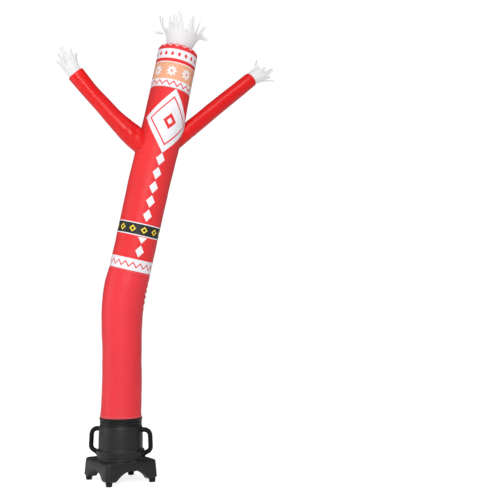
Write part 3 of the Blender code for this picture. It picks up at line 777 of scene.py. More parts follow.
@effect("moulded grain", {"Place": None, "Grains per Metre": 620.0}, "Height", "Speck")
def moulded_grain(given: SimpleNamespace) -> tuple[Wire, Wire]:
    """The fine pebbled grain of a moulding.

    Args:
        given: The inputs.

    Returns:
        Its height, and specks in it.
    """
    inputs = {"Vector": given.place, "Scale": given.grains_per_metre}
    cells = given.graph.wire("TexVoronoi", inputs, "Distance", feature="SMOOTH_F1")
    fine = given.graph.noise(given.place, 1900.0, 3.0, 0.6)
    return fine.scaled(0.35, cells), given.graph.between(fine, 0.45, 0.72)


@effect("edge wear", {"Place": None, "Start": 0.56, "Amount": 0.6}, "Mask")
def edge_wear(given: SimpleNamespace) -> Wire:
    """Rubbed edges, broken up by a noise.

    Args:
        given: The inputs.

    Returns:
        Where they are.
    """
    graph = given.graph
    broken = graph.noise(given.place, 46.0, 4.0, 0.65) - 0.5
    edge = graph.wire("NewGeometry", output="Pointiness") + broken * 0.10
    return graph.between(edge, given.start, given.start + 0.09) * given.amount


@effect("lying dust", {"Place": None, "Amount": 0.4}, "Mask")
def dust(given: SimpleNamespace) -> Wire:
    """Dust on what looks up, thicker in patches.

    Args:
        given: The inputs.

    Returns:
        Where it lies.
    """
    graph = given.graph
    up = graph.split(graph.wire("NewGeometry", output="Normal"))[2]
    patches = graph.noise(given.place, 17.0, 5.0, 0.68)
    return graph.between(up, 0.15, 0.95) * graph.between(patches, 0.38, 0.74) * given.amount


# ------------------------------------------------------------------ finishes

@dataclass(frozen=True)
class Surface(Graph):
    """The graph of a material with a Principled shader."""

    @cached_property
    def place(self) -> Wire:
        """The place on the surface, in the piece's own coordinates."""
        return self.wire("TexCoord", output="Object")

    @cached_property
    def on_cloth(self) -> list[Wire]:
        """The places across and along the flat cut."""
        return self.split(self.wire("UVMap", output="UV", uv_map=UV_NAME))[:2]

    def threads(self, width: float) -> Wire:
        """The place on the flat cut in metres, for cloth of a width."""
        return self.merged(self.on_cloth[0] * width, self.on_cloth[1])

    def set(self, **values: object) -> None:
        """Feed sockets of the shader, with _ for the spaces in their names."""
        for name, value in values.items():
            self.feed(self.tree.nodes["Principled BSDF"].inputs[name.replace("_", " ")], value)

    def bump(self, *heights: tuple[Wire, float]) -> None:
        """Raise the surface.

        Args:
            heights: Heights, each with its depth in metres.
        """
        below = {}
        for height, depth in heights:
            inputs = {"Strength": 1.0, "Distance": depth, "Height": height, **below}
            below = {"Normal": self.wire("Bump", inputs, "Normal")}
        self.set(**below)


@dataclass(frozen=True)
class Finish:
    """A finish, whose material is made once."""

    name: str

    def material(self) -> Material:
        """The material, made when it is first asked for.

        Returns:
            The material.
        """
        made = bpy.data.materials.get(self.name)
        if made is None:
            made = bpy.data.materials.new(self.name)
            made.use_nodes = True
            self.dress(Surface(made.node_tree))
        return made

    def dress(self, surface: Surface) -> None:
        """Build the graph of this finish in a new material."""
        raise NotImplementedError


@dataclass(frozen=True)
class Layer:
    """A dye laid over the ones before it, where a motif is."""

    dye: Dye
    motif: Effect
    values: tuple[float, ...]          # for the motif's inputs after Across and Along
    output: str = "mask"

    def laid_over(self, surface: Surface, colour: object) -> Wire:
        """Lay the dye on the cloth.

        Args:
            surface: The material's graph.
            colour: The colour below.

        Returns:
            The colour with the motif in it.
        """
        named = dict(zip(map(_key, self.motif.inputs), (*surface.on_cloth, *self.values)))
        mask = getattr(self.motif.place(surface, **named), self.output)
        return surface.mix(mask, colour, self.dye.value)


@dataclass(frozen=True)
class PrintedCloth(Finish):
    """Coated ripstop in one dye, with a geometric pattern printed over it."""

    ground: Dye
    layers: tuple[Layer, ...] = ()
    round_metres: float = 0.965
    roughness: float = 0.40
    crease_depth: float = 0.006
    specular: float = 0.17
    pale_threads: float = 0.035

    def dress(self, surface: Surface) -> None:
        """Print the pattern, then add the weave, creases and sheen.

        Args:
            surface: The new material's graph.
        """
        colour: object = self.ground.value
        for layer in self.layers:
            colour = layer.laid_over(surface, colour)
        uneven = mottle.place(surface, colour=colour, strength=0.10)
        weave = ripstop.place(surface, place=surface.threads(self.round_metres))
        crease = creases.place(surface, stretch=(1.0, 1.0, 0.32))
        lit = surface.mix(weave.grid * self.pale_threads, uneven.colour, (0.95, 0.93, 0.93))
        surface.set(Base_Color=lit, Roughness=crease.mask.scaled(0.10, self.roughness - 0.05),
                    Sheen_Weight=0.02, Sheen_Roughness=0.45, Specular_IOR_Level=self.specular)
        surface.bump((crease.height, self.crease_depth), (weave.height, 0.00005))


@dataclass(frozen=True)
class FringeCloth(Finish):
    """Thin white cloth that lets some light and shape through, with a painted glow for the light it passes,
    greyer towards its cut tips.
    """

    body: Colour = (0.575, 0.57, 0.58)
    tip: Colour = (0.53, 0.53, 0.54)
    through: float = 0.22          # painted glow: an even emission that stands in for light coming through from behind
    cover: float = 0.92

    def dress(self, surface: Surface) -> None:
        """Add the fading, the weave, the half-clear cover and the painted glow.

        Args:
            surface: The new material's graph.
        """
        threads = surface.threads(0.60)
        weave = ripstop.place(surface, place=threads)
        crease = creases.place(surface, place=threads, stretch=(3.0, 0.8, 1.0))
        faded = surface.mix(surface.between(surface.on_cloth[1], 0.05, 0.24), self.body, self.tip)
        uneven = mottle.place(surface, colour=faded, strength=0.16)
        cover = crease.mask.scaled(0.05, weave.grid.scaled(0.06, self.cover - 0.03), clamp=True)
        # The emission is painted glow: the cloth gives off an even white light, as if it were lit through from
        # behind.
        surface.set(Base_Color=uneven.colour, Roughness=0.62, Alpha=cover, Sheen_Weight=0.05,
                    Specular_IOR_Level=0.2, Emission_Color=(1.0, 0.99, 1.0), Emission_Strength=self.through)
        surface.bump((crease.height, 0.0014), (weave.height, 0.00004))


@dataclass(frozen=True)
class Moulding(Finish):
    """A moulded plastic or rubber with a grain, rubbed edges and a little dust."""

    colour: Colour
    worn: Colour
    roughness: float = 0.52
    grain: float = 0.00022
    grains_per_metre: float = 620.0
    wear: float = 0.45
    dust: float = 0.30
    specular: float = 0.45
    coat: float = 0.0

    def dress(self, surface: Surface) -> None:
        """Add the grain, the rubbed edges and the dust.

        Args:
            surface: The new material's graph.
        """
        grain = moulded_grain.place(surface, grains_per_metre=self.grains_per_metre)
        uneven = mottle.place(surface, colour=self.colour, strength=0.22).colour
        wear = edge_wear.place(surface, amount=self.wear).mask
        lying = dust.place(surface, amount=self.dust).mask
        dusty = surface.mix(lying, surface.mix(wear, uneven, self.worn), (0.19, 0.18, 0.165))
        rough = lying.scaled(0.25, grain.speck.scaled(0.10, self.roughness - 0.05))
        surface.set(Base_Color=dusty, Roughness=wear.scaled(-0.14, rough, clamp=True),
                    Specular_IOR_Level=self.specular, Coat_Weight=self.coat, Coat_Roughness=0.22)
        surface.bump((grain.height, self.grain))


@dataclass(frozen=True)
class PlatedMetal(Finish):
    """Plated metal with fine turning marks and small stains."""

    colour: Colour = (0.72, 0.71, 0.69)
    stain: Colour = (0.40, 0.37, 0.33)
    roughness: float = 0.24

    def dress(self, surface: Surface) -> None:
        """Add the turning marks, the stains and the bare edges.

        Args:
            surface: The new material's graph.
        """
        marks = surface.noise(surface.product(surface.place, (400.0, 400.0, 2600.0)), 1.0, 3.0, 0.6)
        stains = surface.between(surface.noise(surface.place, 260.0, 4.0, 0.6), 0.52, 0.72)
        stained = surface.mix(stains * 0.5, self.colour, self.stain)
        bare = surface.mix(edge_wear.place(surface, amount=0.5).mask, stained, (0.86, 0.85, 0.83))
        surface.set(Base_Color=bare, Roughness=stains.scaled(0.22, self.roughness), Metallic=1.0)
        surface.bump((marks, 0.00003))


@dataclass(frozen=True)
class LitPlastic(Finish):
    """The half-clear green of the lamp inside the rocker."""

    colour: Colour = (0.004, 0.155, 0.062)
    deep: Colour = (0.002, 0.075, 0.030)

    def dress(self, surface: Surface) -> None:
        """Add the cloudy depth, the glow and the rubbed edges.

        Args:
            surface: The new material's graph.
        """
        depth = surface.between(surface.noise(surface.place, 95.0, 3.0, 0.5), 0.3, 0.7)
        cloudy = surface.mix(depth, self.colour, self.deep)
        rubbed = surface.mix(edge_wear.place(surface, amount=0.35).mask, cloudy, (0.05, 0.34, 0.18))
        glow = surface.mix(depth, (0.0, 0.05, 0.02), (0.0, 0.02, 0.008))
        surface.set(Base_Color=rubbed, Emission_Color=glow, Emission_Strength=0.6, Roughness=0.22,
                    Coat_Weight=0.5, Coat_Roughness=0.08)
        surface.bump((surface.noise(surface.place, 900.0, 2.0, 0.5), 0.00004))


@dataclass(frozen=True)
class Tape(Finish):
    """Plain woven tape, twill thread or cord in one colour."""

    colour: Colour
    threads_per_metre: float = 900.0

    def dress(self, surface: Surface) -> None:
        """Add the twill and its worn ridges.

        Args:
            surface: The new material's graph.
        """
        x, y, z = surface.split(surface.place)
        twill = surface.math("SINE", (x + y + z * 1.7) * (self.threads_per_metre * 2 * math.pi))
        uneven = mottle.place(surface, colour=self.colour, strength=0.18).colour
        worn = surface.mix(surface.between(twill, -1.0, 1.0, 0.0, 0.16), uneven, (0.42, 0.41, 0.40))
        surface.set(Base_Color=worn, Roughness=surface.between(twill, -1.0, 1.0, 0.5, 0.66), Sheen_Weight=0.2,
                    Specular_IOR_Level=0.3)
        surface.bump((twill, 0.00008))


@dataclass(frozen=True)
class PaleFloor(Finish):
    """The studio's plain floor, faintly uneven, and bright to the camera's eye."""

    def dress(self, surface: Surface) -> None:
        """Add the unevenness and the brightness.

        Args:
            surface: The new material's graph.
        """
        ray = surface.wire("LightPath", output="Is Camera Ray")
        uneven = mottle.place(surface, colour=(0.90, 0.90, 0.905), strength=0.012).colour
        surface.set(Base_Color=uneven, Roughness=0.75, Specular_IOR_Level=0.1,
                    Emission_Color=(1.0, 1.0, 1.0), Emission_Strength=ray.scaled(0.52, 0.30))


# ------------------------------------------------------------------ tubes

class Station(NamedTuple):
    """One place along a cloth tube's middle line, in the figure's own axes."""

    height: float
    x: float
    y: float
    radius: float


@dataclass(frozen=True)
class TubeLine:
    """The middle line and radius of a tube, smooth through a table of stations."""

    stations: tuple[Station, ...]

    @cached_property
    def table(self) -> Array:
        """The stations as an array."""
        return np.array(self.stations)

    @cached_property
    def slopes(self) -> Array:
        """How the columns change with the height at each station.

        Returns:
            The slopes, station by station.
        """
        numbers = np.arange(len(self.table))
        after, before = np.minimum(numbers + 1, numbers[-1]), np.maximum(numbers - 1, 0)
        rise = self.table[after, :1] - self.table[before, :1]
        return (self.table[after] - self.table[before]) / rise

    @property
    def start(self) -> float:
        """The first station's height."""
        return self.stations[0].height

    @property
    def end(self) -> float:
        """The last station's height."""
        return self.stations[-1].height

    def at(self, heights: Array) -> Array:
        """The line at heights on it.

        Args:
            heights: The heights.

        Returns:
            Height, x, y and radius at each.
        """
        knots = self.table[:, 0]
        index = np.clip(np.searchsorted(knots, heights, side="right") - 1, 0, len(knots) - 2)
        span = (knots[index + 1] - knots[index])[..., None]
        t = (heights - knots[index])[..., None] / span
        low, high = (self.table[i] for i in (index, index + 1))
        low_slope, high_slope = (self.slopes[i] * span for i in (index, index + 1))
        return ((2 * t**3 - 3 * t**2 + 1) * low + (t**3 - 2 * t**2 + t) * low_slope
                + ((3 * t**2 - 2 * t**3) * high + (t**3 - t**2) * high_slope))

    def frames(self, heights: Array) -> tuple[Array, Array, Array, Array, Array]:
        """The tube's own directions at heights.

        Args:
            heights: The heights.

        Returns:
            The middle, the axis, the front and side directions and the radius at each.
        """
        here = self.at(heights)
        ahead, back = (self.at(np.clip(heights + step, self.start, self.end)) for step in (0.004, -0.004))
        axis = unit((ahead - back)[..., [1, 2, 0]])
        front = np.array((0.0, -1.0, 0.0))
        front = unit(front - axis * (axis @ front)[..., None])
        return here[..., [1, 2, 0]], axis, front, np.cross(axis, front), here[..., 3]

    def surface(self, heights: Array, turns: Array, relief: Array | float = 0.0) -> Array:
        """Points on the tube.

        Args:
            heights: Their heights on the middle line.
            turns: Their turns round it, from the front.
            relief: How far they are raised.

        Returns:
            The points.
        """
        middle, _, front, side, radius = self.frames(heights)
        way = np.cos(turns)[..., None] * front + np.sin(turns)[..., None] * side
        return middle + way * (radius + relief)[..., None]

    def locate(self, points: Array) -> tuple[Array, Array, Array]:
        """Where points are on the tube.

        Args:
            points: The points.

        Returns:
            The height, the turn and the distance from the middle line of each.
        """
        heights = np.clip(points[..., 2], self.start, self.end)
        for _ in range(8):
            middle, axis, *_ = self.frames(heights)
            step = np.sum((points - middle) * axis, axis=-1) * axis[..., 2]
            heights = np.clip(heights + step, self.start, self.end)
        middle, _, front, side, _ = self.frames(heights)
        across, out = (np.sum((points - middle) * way, axis=-1) for way in (side, front))
        return heights, np.arctan2(across, out), np.hypot(across, out)

    def length_to(self, heights: Array) -> Array:
        """Distances along the middle line from its start to heights."""
        fine = np.linspace(self.start, self.end, 400)
        return np.interp(heights, fine, run_along(self.at(fine)[:, [1, 2, 0]]))


SPINE = TubeLine((
    #       height   x        y       radius
    Station(0.4425,  0.0000,  0.000,  0.1525),
    Station(0.4650,  0.0000,  0.000,  0.1525),
    Station(0.5300,  0.0015,  0.000,  0.1490),
    Station(0.7400,  0.0055, -0.001,  0.1465),
    Station(0.9400,  0.0035, -0.001,  0.1452),
    Station(1.2000,  0.0010, -0.001,  0.1520),
    Station(1.3450,  0.0130, -0.003,  0.1575),
    Station(1.4350,  0.0270, -0.009,  0.1590),
    Station(1.5600,  0.0540, -0.022,  0.1548),
    Station(1.8900,  0.1170, -0.058,  0.1542),
    Station(2.2400,  0.1840, -0.091,  0.1565),
    Station(2.6200,  0.2700, -0.120,  0.1570),
    Station(2.8550,  0.3150, -0.130,  0.1520),
    Station(3.1900,  0.3830, -0.123,  0.1505),
))

LEFT_ARM = TubeLine((
    #       height   x        y       radius
    Station(2.4350,  0.2050, -0.108,  0.0820),
    Station(2.5480,  0.0490, -0.111,  0.0840),
    Station(2.6680, -0.0920, -0.111,  0.0680),
    Station(2.7590, -0.1830, -0.111,  0.0630),
    Station(2.8530, -0.2790, -0.111,  0.0605),
    Station(2.9700, -0.3850, -0.111,  0.0640),
))

RIGHT_ARM = TubeLine((
    #       height   x        y       radius
    Station(2.4650,  0.2900, -0.109,  0.0650),
    Station(2.6390,  0.4920, -0.111,  0.0615),
    Station(2.8530,  0.7380, -0.111,  0.0598),
    Station(3.0650,  0.9880, -0.111,  0.0570),
))


# ------------------------------------------------------------------ relief of the cloth

class Relief(Protocol):
    """Something that raises or lowers a tube's cloth."""

    def raised(self, heights: Array, turns: Array) -> Array:
        """How far the cloth is raised at heights and turns, in metres."""


@dataclass(frozen=True)
class Gathers:
    """Small folds that run off from a seam, a clamp or a vent's edge and die away."""

    level: float
    count: int
    depth: float
    reach: float
    seed: float = 0.0

    def raised(self, heights: Array, turns: Array) -> Array:
        """How far the folds raise the cloth.

        Args:
            heights: Heights on the tube.
            turns: Turns round it.

        Returns:
            Metres, below zero in the folds.
        """
        drift = 0.9 * np.sin(2 * turns + self.seed) + 0.6 * np.sin(5 * turns + 2 * self.seed)
        wave = 0.5 - 0.5 * np.cos(self.count * turns + drift)
        uneven = 0.62 + 0.25 * np.sin(3 * turns + 3 * self.seed) + 0.13 * np.sin(11 * turns + self.seed)
        reach = self.reach * (0.75 + 0.35 * np.sin(7 * turns + self.seed))
        fade = np.exp(-(np.abs(heights - self.level) / np.maximum(reach, 0.004)) ** 1.25)
        return -self.depth * uneven * wave**1.6 * fade


@dataclass(frozen=True)
class Fold:
    """One soft fold pressed across a tube, with the cloth swelling on both sides of it."""

    level: float
    turn: float          # degrees round from the front
    spread: float        # degrees
    width: float
    depth: float
    slant: float         # metres that it climbs over a radian

    def raised(self, heights: Array, turns: Array) -> Array:
        """How far the fold raises the cloth.

        Args:
            heights: Heights on the tube.
            turns: Turns round it.

        Returns:
            Metres, below zero in the fold.
        """
        away = wrapped(turns - math.radians(self.turn))
        line = (heights - self.level - self.slant * away) / self.width
        valley = np.exp(-line**2) - 0.4 * np.exp(-((line - 1.7) ** 2)) - 0.4 * np.exp(-((line + 1.7) ** 2))
        return -self.depth * valley * np.exp(-((away / math.radians(self.spread)) ** 2))


@dataclass(frozen=True)
class RootPull:
    """Wrinkles that fan out from where an arm is sewn in."""

    level: float
    turn: float
    root: float
    count: int
    depth: float
    reach: float
    seed: float
    tube_radius: float = 0.157

    def raised(self, heights: Array, turns: Array) -> Array:
        """How far the wrinkles raise the cloth.

        Args:
            heights: Heights on the tube.
            turns: Turns round it.

        Returns:
            Metres.
        """
        across, climb = wrapped(turns - math.radians(self.turn)) * self.tube_radius, heights - self.level
        distance = np.maximum(np.hypot(across, climb) - self.root, 0.0)
        way = np.arctan2(climb, across)
        wave = np.cos(self.count * way + 1.4 * np.sin(2 * way + self.seed) + self.seed)
        uneven = 0.6 + 0.4 * np.sin(3 * way + 2 * self.seed)
        return self.depth * uneven * (wave - 0.6) * np.exp(-((distance / self.reach) ** 1.2))


@dataclass(frozen=True)
class Dip:
    """The narrowing along a stitched seam."""

    level: float
    depth: float = 0.0020
    reach: float = 0.0300

    def raised(self, heights: Array, turns: Array) -> Array:
        """How far the cloth narrows at heights."""
        near = np.maximum(0.0, 1 - np.abs(heights - self.level) / self.reach)
        return -self.depth * near**2 + 0.0 * turns


@dataclass(frozen=True)
class Swell:
    """Broad, shallow unevenness of the blown-up cloth."""

    depth: float
    seed: float

    def raised(self, heights: Array, turns: Array) -> Array:
        """How far the unevenness raises the cloth.

        Args:
            heights: Heights on the tube.
            turns: Turns round it.

        Returns:
            Metres.
        """
        first = np.sin(17.0 * heights + 2 * turns + self.seed) * np.sin(3 * turns + 5.3 * heights)
        second = np.sin(31.0 * heights - 3 * turns + 2.1 * self.seed)
        third = np.sin(5 * turns + 9.0 * heights + self.seed) * np.sin(43.0 * heights + 4 * turns)
        return self.depth * (0.5 * first + 0.3 * second + 0.3 * third)


# ------------------------------------------------------------------ the cloth figure

LEG_LOW = 0.4425                          # heights on the figure's middle line
RING_TOP = 0.4650
HEM = 1.5500
NECK = 2.9000
HEAD_TOP = 3.1900

RED_CLOTH = PrintedCloth("plain red ripstop", Dye.ROSE_RED)
SLEEVE_CLOTH = PrintedCloth("plain deep red ripstop", Dye.DEEP_RED, round_metres=0.40, roughness=0.27,
                            crease_depth=0.0014, specular=0.31, pale_threads=0.008)
COAT_PRINT = PrintedCloth("red ripstop with bands and diamonds", Dye.RED, (
    Layer(Dye.WHITE, level_band, (1.5540, 1.6400)),
    Layer(Dye.RED, zigzag, (17.0, 1.5970, 0.034, 0.0130)),
    Layer(Dye.WHITE, lozenge_column, (0.1000, 1.6500, 1.8020, 0.0345)),
    Layer(Dye.WHITE, level_band, (1.8080, 1.8990)),
    Layer(Dye.BLACK, level_band, (1.8150, 1.8920)),
    Layer(Dye.YELLOW, lozenge_row, (11.0, 1.8535, 0.30, 0.0250)),
    Layer(Dye.BLACK, lozenge_row, (11.0, 1.8535, 0.155, 0.0130)),
    Layer(Dye.WHITE, lozenge_column, (0.1040, 1.9100, 2.4320, 0.0345)),
    Layer(Dye.WHITE, rhombus, (2.6600, 0.2050, 0.2360)),
    Layer(Dye.RED, rhombus, (2.6600, 0.2050, 0.2360, 0.74, 0.034), "line"),
    Layer(Dye.RED, rhombus, (2.6600, 0.0520, 0.0600)),
    Layer(Dye.WHITE, rhombus, (2.6600, 0.0230, 0.0265)),
))
HEAD_PRINT = PrintedCloth("white ripstop with bands and stars", Dye.WHITE, (
    Layer(Dye.RED, zigzag, (17.0, 2.9290, 0.030, 0.0125)),
    Layer(Dye.PEACH, level_band, (2.9570, 3.0830)),
    Layer(Dye.WHITE, star_row, (8.0, 3.0200, 0.0440)),
    Layer(Dye.RED, lozenge_row, (8.0, 3.0200, 0.045, 0.0080)),
    Layer(Dye.RED, level_band, (3.0900, 3.1160)),
    Layer(Dye.RED, lozenge_row, (18.0, 3.1530, 0.26, 0.0200)),
    Layer(Dye.RED, level_band, (3.1900, 3.6000)),
    Layer(Dye.WHITE, zigzag, (17.0, 3.2290, 0.024, 0.0080)),
))
FRINGE_CLOTH = FringeCloth("thin white fringe cloth")
WHITE_TAPE = Tape("white tape", (0.74, 0.73, 0.73))
SEWING_THREAD = Tape("sewing thread", (0.56, 0.50, 0.50), 1400.0)
ROSE_PIPING = Tape("rose piping", (0.72, 0.105, 0.125))
RED_THREAD = Tape("red sewing thread", (0.60, 0.030, 0.032), 1400.0)
# The head fringe's white cloth with painted shade: body and tips are darker to offset the strong lamp light on
# the hands, and the painted glow is stronger.
HAND_FRINGE_PAINTED_SHADE_CLOTH = FringeCloth("thin white cuff fringe cloth", body=(0.50, 0.495, 0.505),
                                tip=(0.46, 0.46, 0.47), through=0.27, cover=0.97)


LEG_RELIEF = (
    Dip(HEM), Swell(0.0011, 0.4),
    Gathers(RING_TOP - 0.006, 34, 0.0034, 0.040, 0.7),
    Gathers(RING_TOP - 0.006, 61, 0.0010, 0.014, 2.1),
    Gathers(HEM, 46, 0.0011, 0.014, 1.2),
    Fold(1.352, 96, 44, 0.012, 0.0046, 0.006),
    Fold(1.398, 84, 52, 0.013, 0.0056, -0.010),
    Fold(1.446, 99, 40, 0.011, 0.0044, 0.012),
    Fold(1.492, 88, 46, 0.010, 0.0032, -0.006),
    Fold(1.300, 80, 34, 0.013, 0.0026, 0.014),
    Fold(0.575, -40, 30, 0.016, 0.0016, 0.05),
    Fold(0.640, 60, 26, 0.018, 0.0014, -0.06),
)
COAT_RELIEF = (
    Dip(HEM), Dip(NECK), Swell(0.0010, 1.3),
    Gathers(HEM, 46, 0.0011, 0.014, 1.2),
    Gathers(NECK, 50, 0.0010, 0.013, 2.6),
    RootPull(2.505, -90, 0.078, 13, 0.0016, 0.060, 0.5),
    RootPull(2.585, 90, 0.066, 11, 0.0014, 0.050, 1.9),
    Fold(2.395, -62, 26, 0.011, 0.0034, 0.050),
    Fold(2.430, -58, 18, 0.008, 0.0022, 0.020),
    Fold(2.625, -56, 18, 0.010, 0.0026, -0.060),
    Fold(2.500, 64, 20, 0.010, 0.0026, -0.050),
    Fold(2.700, 66, 18, 0.010, 0.0020, 0.050),
)
HEAD_RELIEF = (Dip(NECK), Swell(0.0009, 2.2), Gathers(NECK, 50, 0.0010, 0.013, 2.6))
LEFT_FOLDS = (
    Fold(2.560, 10, 60, 0.014, 0.0024, 0.030), Fold(2.600, -60, 50, 0.012, 0.0020, -0.020),
    Fold(2.545, 100, 44, 0.010, 0.0026, 0.010), Fold(2.700, 150, 60, 0.012, 0.0014, 0.020),
)
RIGHT_FOLDS = (
    Fold(2.600, 0, 60, 0.011, 0.0020, -0.020), Fold(2.640, -90, 50, 0.010, 0.0016, 0.020),
    Fold(2.620, 90, 50, 0.009, 0.0018, 0.010),
)


class Vent(NamedTuple):
    """The opening at a tube's end, and the band of the fringe that stands in it."""

    radius: float
    rise: float
    fullness: float          # how square the cloth's corner round the opening is
    band_height: float
    band_flare: float


HEAD_VENT = Vent(0.0960, 0.0580, 3.8, 0.0860, 1.26)
HAND_VENT = Vent(0.0520, 0.0160, 4.5, 0.0680, 1.26)


@dataclass(frozen=True)
class Seam:
    """A stitched line on a tube's surface, as points with their outward directions."""

    points: Array
    outward: Array
    closed: bool

    @classmethod
    def on(cls, line: Callable[[float], Array], lift: float, closed: bool = True) -> "Seam":
        """A seam at a distance off the cloth, along a line that a function gives at distances."""
        points = to_frame(line(lift))
        return cls(points, to_frame(line(lift + 0.01)) - points, closed)


@dataclass(frozen=True)
class Thread:
    """Lockstitch: short raised threads in a row."""

    pitch: float = 0.0085
    stitch: float = 0.0062
    radius: float = 0.00055
    sides: int = 6
    shape: tuple[tuple[float, float, float], ...] = (     # places along it, lifts and thicknesses
        (-0.5, -0.9, 0.6), (-0.30, 0.3, 1.0), (0.0, 0.7, 1.05), (0.30, 0.3, 1.0), (0.5, -0.9, 0.6))

    def sew(self, name: str, seams: Iterable[Seam]) -> Piece:
        """Sew along seams.

        Args:
            name: The piece's name.
            seams: The lines to follow.

        Returns:
            One piece with all the stitches.
        """
        stitches = np.array([self._stitch(*place) for seam in seams for place in self._places(seam)])
        rows, size = len(self.shape), len(self.shape) * self.sides
        faces = [face for first in range(0, len(stitches) * size, size)
                 for face in grid_faces(rows, self.sides, True, first)]
        return surfaced(name, stitches, faces)

    def _places(self, seam: Seam) -> Iterable[tuple[Array, Array, Array]]:
        """Where the stitches of a seam lie.

        Args:
            seam: The seam.

        Returns:
            The middle, heading and outward direction of each stitch.
        """
        line, out = (np.vstack([part, part[:1]]) if seam.closed else part
                     for part in (seam.points, seam.outward))
        run = run_along(line)
        count = max(int(run[-1] / self.pitch), 2)
        for place in (np.arange(count) + 0.5) * run[-1] / count:
            start, end = (along(line, run, place + half) for half in (-self.stitch / 2, self.stitch / 2))
            yield (start + end) / 2, end - start, unit(along(out, run, place))

    def _stitch(self, middle: Array, ahead: Array, outward: Array) -> Array:
        """One stitch: a thread that dives into the cloth at both ends.

        Args:
            middle: Its middle.
            ahead: From its start to its end.
            outward: The direction off the cloth.

        Returns:
            Its rows of points.
        """
        turns = turns_round(self.sides)[:, None]
        section = unit(np.cross(ahead, outward)) * np.cos(turns) + outward * np.sin(turns)
        return np.array([middle + ahead * place + (outward * lift + section * size) * self.radius
                         for place, lift, size in self.shape])


class Fell(NamedTuple):
    """A felled seam's section: a low strip with rounded edges."""

    half_width: float
    height: float
    inner: float             # where its rounding begins, as a share of the half width
    outer: float

    @property
    def places(self) -> Array:
        """The places of its points, as shares of the half width."""
        return np.array([-1.0, -self.outer, -self.inner, 0.0, self.inner, self.outer, 1.0])

    @property
    def lifts(self) -> Array:
        """The heights of its points off the cloth."""
        return np.array([-0.3, 0.55, 1.0, 1.05, 1.0, 0.55, -0.3]) * self.height


@dataclass(frozen=True)
class TubeCloth:
    """One length of a tube: its grid of points, and what is sewn along it."""

    line: TubeLine
    low: float
    high: float
    reliefs: tuple[Relief, ...]
    rows: int
    columns: int = 192
    crowded: float = 0.0       # how far the rows crowd towards the lower end
    fell: Fell = Fell(0.0055, 0.0014, 0.6, 0.94)

    @cached_property
    def turns(self) -> Array:
        """Turns of the columns, from the back seam round to it again."""
        return turns_round(self.columns, -math.pi)

    @cached_property
    def heights(self) -> Array:
        """Heights of the rows."""
        share = np.linspace(0.0, 1.0, self.rows)
        return self.low + (self.high - self.low) * (share * (1 - self.crowded) + self.crowded * share**2.2)

    def relief(self, heights: Array, turns: Array) -> Array:
        """How far the cloth is raised at heights and turns."""
        return sum(relief.raised(heights, turns) for relief in self.reliefs)

    def point(self, heights: Array, turns: Array, lift: float = 0.0) -> Array:
        """Points of the raised cloth, in the figure's own axes."""
        return self.line.surface(heights, turns, self.relief(heights, turns) + lift)

    def grid(self) -> Array:
        """The rows of points."""
        return self.point(self.heights[:, None], self.turns[None, :])

    def lengths(self) -> Array:
        """The flat cut's length at each row, and at each column where it differs."""
        return self.heights[:, None]

    def sheet(self, name: str) -> Piece:
        """The cloth as a piece."""
        across = np.broadcast_arrays(np.linspace(0.0, 1.0, self.columns + 1)[None, :], self.lengths())
        return skin(name, to_frame(self.grid()), np.stack(across, axis=2))

    def round_line(self, height: float, count: int, lift: float = 0.0) -> Array:
        """A closed line round the tube at a height."""
        return self.point(np.full(count, height), turns_round(count, -math.pi), lift)

    def level_seam(self, height: float) -> Seam:
        """A stitched line round the tube."""
        return Seam.on(lambda lift: self.round_line(height, 180, lift), 0.0004)

    def upright_seams(self, low: float, high: float, aside: float) -> list[Seam]:
        """Two stitched lines up the tube, along both edges of its back seam.

        Args:
            low: The height where they start.
            high: The height where they end.
            aside: How far each is from the seam's middle, in radians.

        Returns:
            The lines.
        """
        heights = np.linspace(low, high, max(int((high - low) / 0.01), 8))
        turns = [np.full_like(heights, math.pi + side * aside) for side in (-1, 1)]
        return [Seam.on(lambda lift: self.point(heights, turn, lift), 0.0016, False) for turn in turns]

    def felled(self, name: str, turns: Array, heights: Array, across: Array, lengths: Array) -> Piece:
        """A felled seam up the back.

        Args:
            name: The piece's name.
            turns: Turns of its columns.
            heights: Heights of its rows.
            across: The flat cut's place across at each column.
            lengths: The flat cut's length at each row.

        Returns:
            The piece.
        """
        raised = self.relief(heights, turns[None, :]) + self.fell.lifts
        cut_map = np.stack(np.broadcast_arrays(across, lengths), axis=2)
        return skin(name, to_frame(self.line.surface(heights, turns[None, :], raised)), cut_map, closed=False)

    def back_seam(self, name: str) -> Piece:
        """The felled seam up the back of the tube.

        Args:
            name: The piece's name.

        Returns:
            The piece.
        """
        radius = float(np.mean(self.line.at(self.heights)[:, 3]))
        heights = np.linspace(self.low + 0.001, self.high - 0.001, self.rows)[:, None]
        turns = math.pi + self.fell.places * self.fell.half_width / radius
        return self.felled(name, turns, heights, 0.5 + turns / (2 * math.pi), heights)


